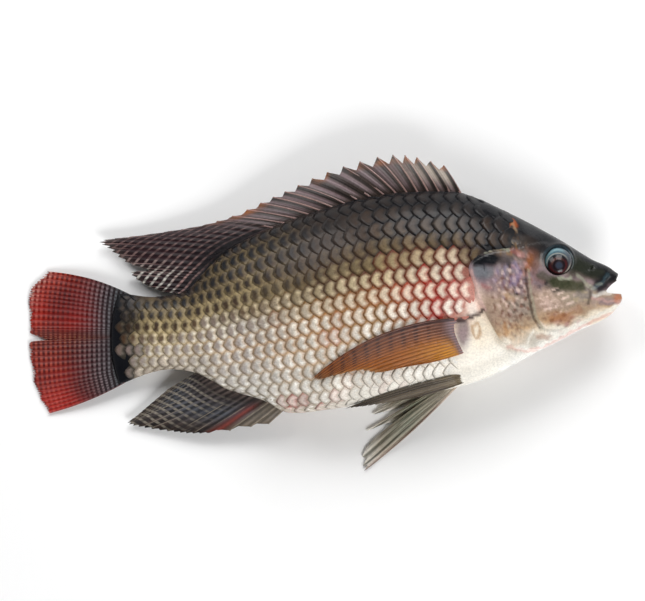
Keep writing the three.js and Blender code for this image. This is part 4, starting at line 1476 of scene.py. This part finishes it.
def build_web(name, fin):
    """The fin's skin: a thin closed sheet with a ragged edge, pleated a little between its rays."""
    columns, rows = fin["columns"], fin["rows"]
    t, along = fin_grid(columns, rows, fin["reach"])
    middle, half = fin_sheet(fin, t, along)
    pleat = 0.16 * np.cos(2 * math.pi * fin["grain"][0] * t) * ease(along, 0.1, 0.4)
    upper, lower = middle.copy(), middle.copy()
    upper[..., 2] += half + pleat
    lower[..., 2] = np.maximum(lower[..., 2] - half + pleat, WEB_FLOOR)
    points = np.concatenate([upper.reshape(-1, 3), lower.reshape(-1, 3)])
    sheet = grid_faces(columns, rows)
    below = columns * rows
    faces = sheet + [tuple(i + below for i in face[::-1]) for face in sheet]
    number = np.arange(columns * rows).reshape(columns, rows)
    rim = [*number[0], *number[1:, -1], *number[-1, -2::-1], *number[-2:0:-1, 0]]
    rim = [int(point) for point in rim]
    for a, b in zip(rim, rim[1:] + rim[:1]):
        faces.append((a, b, b + below, a + below))
    web = mesh_piece(name + "_web", points, faces)
    face_out(web, merge=False)
    flat_t, flat_along = np.tile(t.ravel(), 2), np.tile(along.ravel(), 2)
    tone, light, strength = fin["paint"](flat_t, flat_along, points[:, :2])
    store(web, "tone", np.clip(tone, 0, 1))
    store(web, "light", np.column_stack([light, np.clip(strength, 0, 1)]))
    store(web, "far", fin_distance(fin, flat_t, flat_along))
    store_map(web, "fan", np.column_stack([flat_t, flat_along]))
    web.data.materials.append(fin_material(name + "_web", *fin["grain"]))
    return web


def rays_tree():
    """Draws tapering rays, forked or plain, over a fin's fan."""
    group, tree, given, out = new_tree(
        "GeometryNodeTree",
        "draw_rays",
        [
            ("Geometry", "NodeSocketGeometry", None), ("Guide", "NodeSocketObject", None),
            ("Rays", "NodeSocketInt", 20), ("Fork", "NodeSocketInt", 2), ("First", "NodeSocketFloat", 0.0),
            ("Last", "NodeSocketFloat", 1.0), ("Length", "NodeSocketFloat", 1.0),
            ("Root Radius", "NodeSocketFloat", 0.0005), ("Tip Radius", "NodeSocketFloat", 0.0002),
            ("Unevenness", "NodeSocketFloat", 0.004), ("Seed", "NodeSocketInt", 3),
            ("Material", "NodeSocketMaterial", None),
        ],
        [("Geometry", "NodeSocketGeometry")],
    )
    fork = given["Fork"]
    roots = tree.out("GeometryNodeMeshLine", {"Count": given["Rays"], "Offset": (1.0, 0.0, 0.0)})
    line = tree.out("GeometryNodeCurvePrimitiveLine", {0: (0.0, 0.0, 0.0), 1: (0.0, 1.0, 0.0)})
    fine = tree.out("GeometryNodeResampleCurve", {"Curve": line, "Count": RAY_STEPS})
    laid = tree.out("GeometryNodeInstanceOnPoints", {"Points": roots, "Instance": fine})
    real = tree.out("GeometryNodeRealizeInstances", {0: laid})
    index, share, _ = tree.parts(tree.out("GeometryNodeInputPosition"))
    index = tree.math("ROUND", index)
    stem = tree.math("FLOOR", (index + 0.01) / fork)
    side = tree.math("FLOORED_MODULO", index, 2.0) * 2.0 - 1.0
    step = (given["Last"] - given["First"]) / (given["Rays"] / fork - 1.0)
    forked = fork - 1.0
    spread = tree.math("POWER", share, 1.6) * 0.26 * (side * step * forked)
    uneven = tree.random(given["Unevenness"] * -1.0, given["Unevenness"], given["Seed"], stem)
    t = given["First"] + stem * step + spread + uneven * forked
    t = tree.math("MINIMUM", tree.math("MAXIMUM", t, 0.001), 0.999)
    along = 0.002 + share * (given["Length"] * 0.996)
    marked = tree.keep(real, "on_fan", tree.together(t, along, 0.0))
    on_fan = tree.kept("on_fan")
    place = on_guide(tree, given["Guide"], "fan", on_fan, tree.out("GeometryNodeInputPosition"))
    wrapped = tree.out("GeometryNodeSetPosition", {0: marked, 2: place})
    share_along = tree.parts(on_fan)[1]
    thick = tree.out("ShaderNodeMix", {0: share_along, 2: given["Root Radius"], 3: given["Tip Radius"]})
    profile = tree.out("GeometryNodeCurvePrimitiveCircle", {"Resolution": RAY_SIDES, 4: 1.0})
    swept = tree.out("GeometryNodeCurveToMesh", {"Curve": wrapped, "Profile Curve": profile, "Scale": thick,
                                                 "Fill Caps": True})
    soft = tree.out("GeometryNodeSetShadeSmooth", {0: tree.out("GeometryNodeRealizeInstances", {0: swept})})
    tree.feed(out[0], tree.out("GeometryNodeSetMaterial", {0: soft, 2: given["Material"]}))
    return group


def build_rays(name, fin, settings):
    """The fin's bony rays, standing a little out of both faces of its web."""
    t, along = fin_grid(fin["columns"] // 2, GUIDE_ROWS)
    middle, _ = fin_sheet(fin, t, along)
    guide = mesh_piece("fan_guide", middle.reshape(-1, 3), grid_faces(*t.shape))
    store_map(guide, "fan", np.column_stack([t.ravel(), along.ravel()]))
    material = ray_material(name + "_rays")
    group = shared("draw_rays", rays_tree)
    drawn = []
    for number, (count, fork, first, last, length, root, tip) in enumerate(fin["drawn"]):
        piece = mesh_piece(f"{name}_rays_{number}", [(0, 0, 0)], [])
        run_tree(piece, group, {
            "Guide": guide, "Rays": count, "Fork": fork, "First": float(first), "Last": float(last),
            "Length": float(length), "Root Radius": root * MM * settings.ray_thickness,
            "Tip Radius": tip * MM * settings.ray_thickness, "Seed": settings.fin_seed + number,
            "Material": material,
        })
        drawn.append(piece)
    remove(guide)
    rays = joined(drawn, name + "_rays")
    place = read_vectors(rays, "on_fan")
    points = drawing_points(rays)
    points[:, 2] = np.maximum(points[:, 2], RAY_FLOOR)
    move_points(rays, points)
    tone, light, strength = fin["paint"](place[:, 0], place[:, 1], points[:, :2])
    name_of_tone, share = fin["ray_tone"]
    tone = tint(tone, name_of_tone, np.full(len(tone), share))
    bars = np.cos(2 * math.pi / fin["grain"][1] * fin_distance(fin, place[:, 0], place[:, 1]))
    tone += (light - tone) * (0.5 * ease(bars, 0.1, 0.9) * strength)[:, None]
    store(rays, "tone", np.clip(tone, 0, 1))
    rays.data.attributes.remove(rays.data.attributes["on_fan"])
    return rays


def joined(pieces, name):
    """Several pieces made one."""
    work = bmesh.new()
    for piece in pieces:
        work.from_mesh(piece.data)
    whole = pieces[0]
    work.to_mesh(whole.data)
    work.free()
    for piece in pieces[1:]:
        remove(piece)
    whole.name = whole.data.name = name
    return whole


def build_fin(name, settings):
    fin = FINS[name]
    slot = "_".join(name.split("_")[:2])
    for piece in (build_web(name, fin), build_rays(name, fin, settings)):
        finish(piece, slot, name)


# ---- Eyes ----

EYE_RADIUS, EYE_DEPTH, EYE_LIFT, EYE_TILT = 7.2, 4.8, -2.4, 0.42


def paint_eye(xy):
    """Colours over an eye, at places from its centre, with painted highlights and reflections on its upper
    side and rim.
    """
    pupil = apart(xy, (0.5, -1.9))
    iris = apart(xy, (0, -1.5))
    whole = np.linalg.norm(xy, axis=1)
    angle = np.arctan2(xy[:, 1] + 1.5, xy[:, 0])
    above = ease(np.sin(angle - 0.3), -0.1, 0.8)
    tone = np.tile(TONES["plum"], (len(xy), 1))
    # The iris is brown, lighter on its upper inner part, partly as a painted reflection.
    tone = tint(tone, "dusk", 0.45 * bump(iris, 3, 0.6) * above)
    tone = tint(tone, "wine", bump(iris, 4.1, 0.5) * 0.75 * (1 - above))
    tone = tint(tone, "ink", ease(iris, 3.6, 4.2) * above)
    tone = tint(tone, "pupil", 0.75 * (1 - ease(pupil, 1.2, 2.4)))
    tone = tint(tone, "ink", bump(pupil, 2.6, 0.4) * 0.9)
    # The outer ring is ink below and petrol above; that lighter upper side, the teal crescent at its upper
    # left, the stone ring round the top of the iris and the stone crescent at its lower right are painted
    # highlights.
    white = lerp(np.tile(TONES["ink"], (len(xy), 1)), TONES["petrol"], above[:, None])
    white = tint(white, "slate", 0.6 * ease(np.cos(angle), -0.2, 0.6))
    white = tint(white, "teal", 0.8 * bump(whole, 5.9, 0.6) * ease(np.cos(angle - 2.2), 0.2, 0.9))
    white = tint(white, "stone", 0.6 * bump(iris, 5.6, 0.25) * above)
    white = tint(white, "stone", 0.7 * bump(whole, 6.3, 0.3) * ease(np.cos(angle + 0.9), 0.3, 0.9))
    tone += (white - tone) * ease(iris, 4.9, 5.3)[:, None]
    return tint(tone, "bark", 0.7 * ease(whole, 6.7, 7.2))


def eye_material():
    material, tree, shader = new_material("wet_eye", 0.2, 0.1, 0.15)
    flecks = tree.noise(1800.0, 3.0)
    tree.feed(shader.inputs["Base Color"], tree.shaded(attribute(tree, "tone"), 0.7 + flecks * 0.6))
    tree.feed(shader.inputs["Roughness"], 0.12 + flecks * 0.2)
    roughen(tree, shader, flecks, 0.08, 0.1)
    return material


def build_eye(side, material):
    eye = ball("eyeball", (0, 0, 0), (EYE_RADIUS, EYE_RADIUS, EYE_DEPTH), rings=72, sides=96)
    points = drawing_points(eye)
    tilt = -side * EYE_TILT
    x, y, z = points.T
    cos, sin = math.cos(tilt), math.sin(tilt)
    turned = np.stack([x, y * cos - z * sin, y * sin + z * cos], axis=1)
    height = float(flank_height(*EYE_PLACE, side)) + side * EYE_LIFT
    move_points(eye, turned + (*EYE_PLACE, height))
    eye.name = eye.data.name = "eyeball_right" if side == RIGHT else "eyeball_left"
    store(eye, "tone", np.clip(paint_eye(turned[:, :2]), 0, 1))
    eye.data.materials.append(material)
    finish(eye, "eye", "eye_right" if side == RIGHT else "eye_left")
    return eye


# ---- Stage ----

SENSOR_WIDTH = 0.036
FLOOR_WIDTH, FLOOR_HEIGHT = 4000, -0.2  # in millimetres
LAMP_SIZE = 0.6
LAMPS = {  # where each one stands, and its share of the lamps' power
    "lamp_back": ((0.25, 0.95, 0.75), 0.95),
    "lamp_front": ((0.45, -0.95, 0.75), 1.15),
    "lamp_tail": ((-0.6, 0.8, 0.9), 0.7),
}


def build_floor(settings):
    half = FLOOR_WIDTH / 2
    corners = [(-half, -half), (half, -half), (half, half), (-half, half)]
    floor = mesh_piece("floor", [(x, y, FLOOR_HEIGHT) for x, y in corners], [(0, 1, 2, 3)])
    material, tree, shader = new_material("pale_floor", 0.0, 0.03, 0.1)
    tree.feed(shader.inputs["Roughness"], 0.6 + tree.noise(9.0) * 0.2)
    shader.inputs["Base Color"].default_value = (*settings.floor_colour, 1)
    floor.data.materials.append(material)


def build_light(name, place, power):
    """A soft square lamp that looks at the fish."""
    lamp = bpy.data.lights.new(name, "AREA")
    lamp.shape, lamp.size, lamp.energy = "SQUARE", LAMP_SIZE, power
    holder = bpy.data.objects.new(name, lamp)
    bpy.context.scene.collection.objects.link(holder)
    holder.location = place
    holder.rotation_euler = (-Vector(place)).to_track_quat("-Z", "Y").to_euler()


def build_camera(settings):
    camera = bpy.data.cameras.new("camera")
    camera.lens = settings.lens * 1000
    view = bpy.data.objects.new("camera", camera)
    bpy.context.scene.collection.objects.link(view)
    camera.sensor_width = SENSOR_WIDTH / MM
    distance = settings.view_width * settings.lens / SENSOR_WIDTH
    view.location = (0, settings.view_lift, distance + MEDIAN_HEIGHT * MM)
    bpy.context.scene.camera = view


def build_sky(settings):
    """A pale surround that lights the fish softly from all sides, and is darker overhead."""
    world = bpy.data.worlds.new("studio")
    world.use_nodes = True
    tree = Tree(world.node_tree)
    upward = tree.parts(tree.out("ShaderNodeTexCoord", output="Generated"))[2]
    strength = (0.06 + (1.0 - tree.soft_step(upward, 0.45, 0.92))) * settings.surround
    background = world.node_tree.nodes["Background"]
    background.inputs[0].default_value = (1, 1, 1, 1)
    tree.feed(background.inputs[1], strength)
    bpy.context.scene.world = world


# ---- Add-on ----


class FishSkinSettings(bpy.types.PropertyGroup):
    relief: bpy.props.FloatProperty(
        name="Relief", description="How strongly the gill cover, lips and grooves stand out", default=1.0,
        min=0, max=2,
    )


class FishScaleSettings(bpy.types.PropertyGroup):
    scale_lift: bpy.props.FloatProperty(
        name="Lift", description="How far a scale's free edge stands off the skin", default=0.00032,
        subtype="DISTANCE", unit="LENGTH", precision=5,
    )
    scale_unevenness: bpy.props.FloatProperty(
        name="Unevenness", description="How much the scales differ in size and turn", default=0.05,
        min=0, max=0.3,
    )
    scale_seed: bpy.props.IntProperty(name="Seed", description="Which chance arrangement is used", default=7)


class FishFinSettings(bpy.types.PropertyGroup):
    ray_thickness: bpy.props.FloatProperty(
        name="Ray thickness", description="The rays' thickness, against the usual one", default=1.0,
        min=0.3, max=2, subtype="FACTOR",
    )
    fin_seed: bpy.props.IntProperty(name="Seed", description="Which chance arrangement is used", default=3)


class FishStageSettings(bpy.types.PropertyGroup):
    floor_colour: bpy.props.FloatVectorProperty(
        name="Floor", description="The floor's colour", default=(0.96, 0.96, 0.96),
        subtype="COLOR", min=0, max=1,
    )
    surround: bpy.props.FloatProperty(
        name="Surround", description="Brightness of the light from all around", default=0.37, min=0,
    )
    lamp_power: bpy.props.FloatProperty(
        name="Lamps", description="Power of each soft lamp", default=9.4,
        min=0, subtype="POWER", unit="POWER",
    )
    lens: bpy.props.FloatProperty(
        name="Lens", description="Focal length, on a frame 36 mm wide", default=0.3, subtype="DISTANCE",
        unit="LENGTH",
    )
    view_width: bpy.props.FloatProperty(
        name="View width", description="Width of what the camera sees at the fish", default=0.3225,
        subtype="DISTANCE", unit="LENGTH",
    )
    view_lift: bpy.props.FloatProperty(
        name="View lift", description="How far the view's centre lies from the fish's, towards its back",
        default=0.0066, subtype="DISTANCE", unit="LENGTH",
    )


class FISH_OT_skin(bpy.types.Operator):
    """Model and paint the body with its head, mouth and gill covers"""

    bl_idname = "fish.skin"
    bl_label = "Skin"

    def execute(self, context):
        build_body(context.scene.fish_skin)
        return {"FINISHED"}


class FISH_OT_scales(bpy.types.Operator):
    """Lay the scales over both flanks"""

    bl_idname = "fish.scales"
    bl_label = "Scales"

    def execute(self, context):
        group, material = scales_tree(), scale_material()
        for side in (RIGHT, LEFT):
            build_scales(side, context.scene.fish_scales, group, material)
        return {"FINISHED"}


class FISH_OT_fins(bpy.types.Operator):
    """Model every fin: its web and its rays"""

    bl_idname = "fish.fins"
    bl_label = "Fins"

    def execute(self, context):
        for name in FINS:
            build_fin(name, context.scene.fish_fins)
        return {"FINISHED"}


class FISH_OT_eyes(bpy.types.Operator):
    """Model both eyes"""

    bl_idname = "fish.eyes"
    bl_label = "Eyes"

    def execute(self, context):
        material = eye_material()
        for side in (RIGHT, LEFT):
            build_eye(side, material)
        return {"FINISHED"}


class FISH_OT_stage(bpy.types.Operator):
    """Set up the floor, the lights and the camera"""

    bl_idname = "fish.stage"
    bl_label = "Stage"

    def execute(self, context):
        settings = context.scene.fish_stage
        build_floor(settings)
        build_sky(settings)
        for name, (place, share) in LAMPS.items():
            build_light(name, place, settings.lamp_power * share)
        build_camera(settings)
        context.scene.view_settings.view_transform = "Standard"
        return {"FINISHED"}


class FISH_PT_panel(bpy.types.Panel):
    bl_idname = "FISH_PT_panel"
    bl_label = "Whole Raw Fish"
    bl_space_type = "VIEW_3D"
    bl_region_type = "UI"
    bl_category = "Fish"

    def draw(self, context):
        for group, operators in (
            ("fish_skin", ("fish.skin", "fish.eyes")), ("fish_scales", ("fish.scales",)),
            ("fish_fins", ("fish.fins",)), ("fish_stage", ("fish.stage",)),
        ):
            settings = getattr(context.scene, group)
            box = self.layout.box()
            for name in settings.bl_rna.properties.keys():
                if name not in ("rna_type", "name"):
                    box.prop(settings, name)
            for operator in operators:
                box.operator(operator)


SETTINGS = {
    "fish_skin": FishSkinSettings, "fish_scales": FishScaleSettings, "fish_fins": FishFinSettings,
    "fish_stage": FishStageSettings,
}
OPERATORS = (FISH_OT_skin, FISH_OT_scales, FISH_OT_fins, FISH_OT_eyes, FISH_OT_stage)


def register():
    for settings in SETTINGS.values():
        bpy.utils.register_class(settings)
    for name, settings in SETTINGS.items():
        setattr(bpy.types.Scene, name, bpy.props.PointerProperty(type=settings))
    for kind in (*OPERATORS, FISH_PT_panel):
        bpy.utils.register_class(kind)


def unregister():
    for kind in (FISH_PT_panel, *reversed(OPERATORS)):
        bpy.utils.unregister_class(kind)
    for name in SETTINGS:
        delattr(bpy.types.Scene, name)
    for settings in SETTINGS.values():
        bpy.utils.unregister_class(settings)


def main():
    register()
    bpy.ops.fish.skin()
    bpy.ops.fish.scales()
    bpy.ops.fish.fins()
    bpy.ops.fish.eyes()
    bpy.ops.fish.stage()


if __name__ == "__main__":
    main()
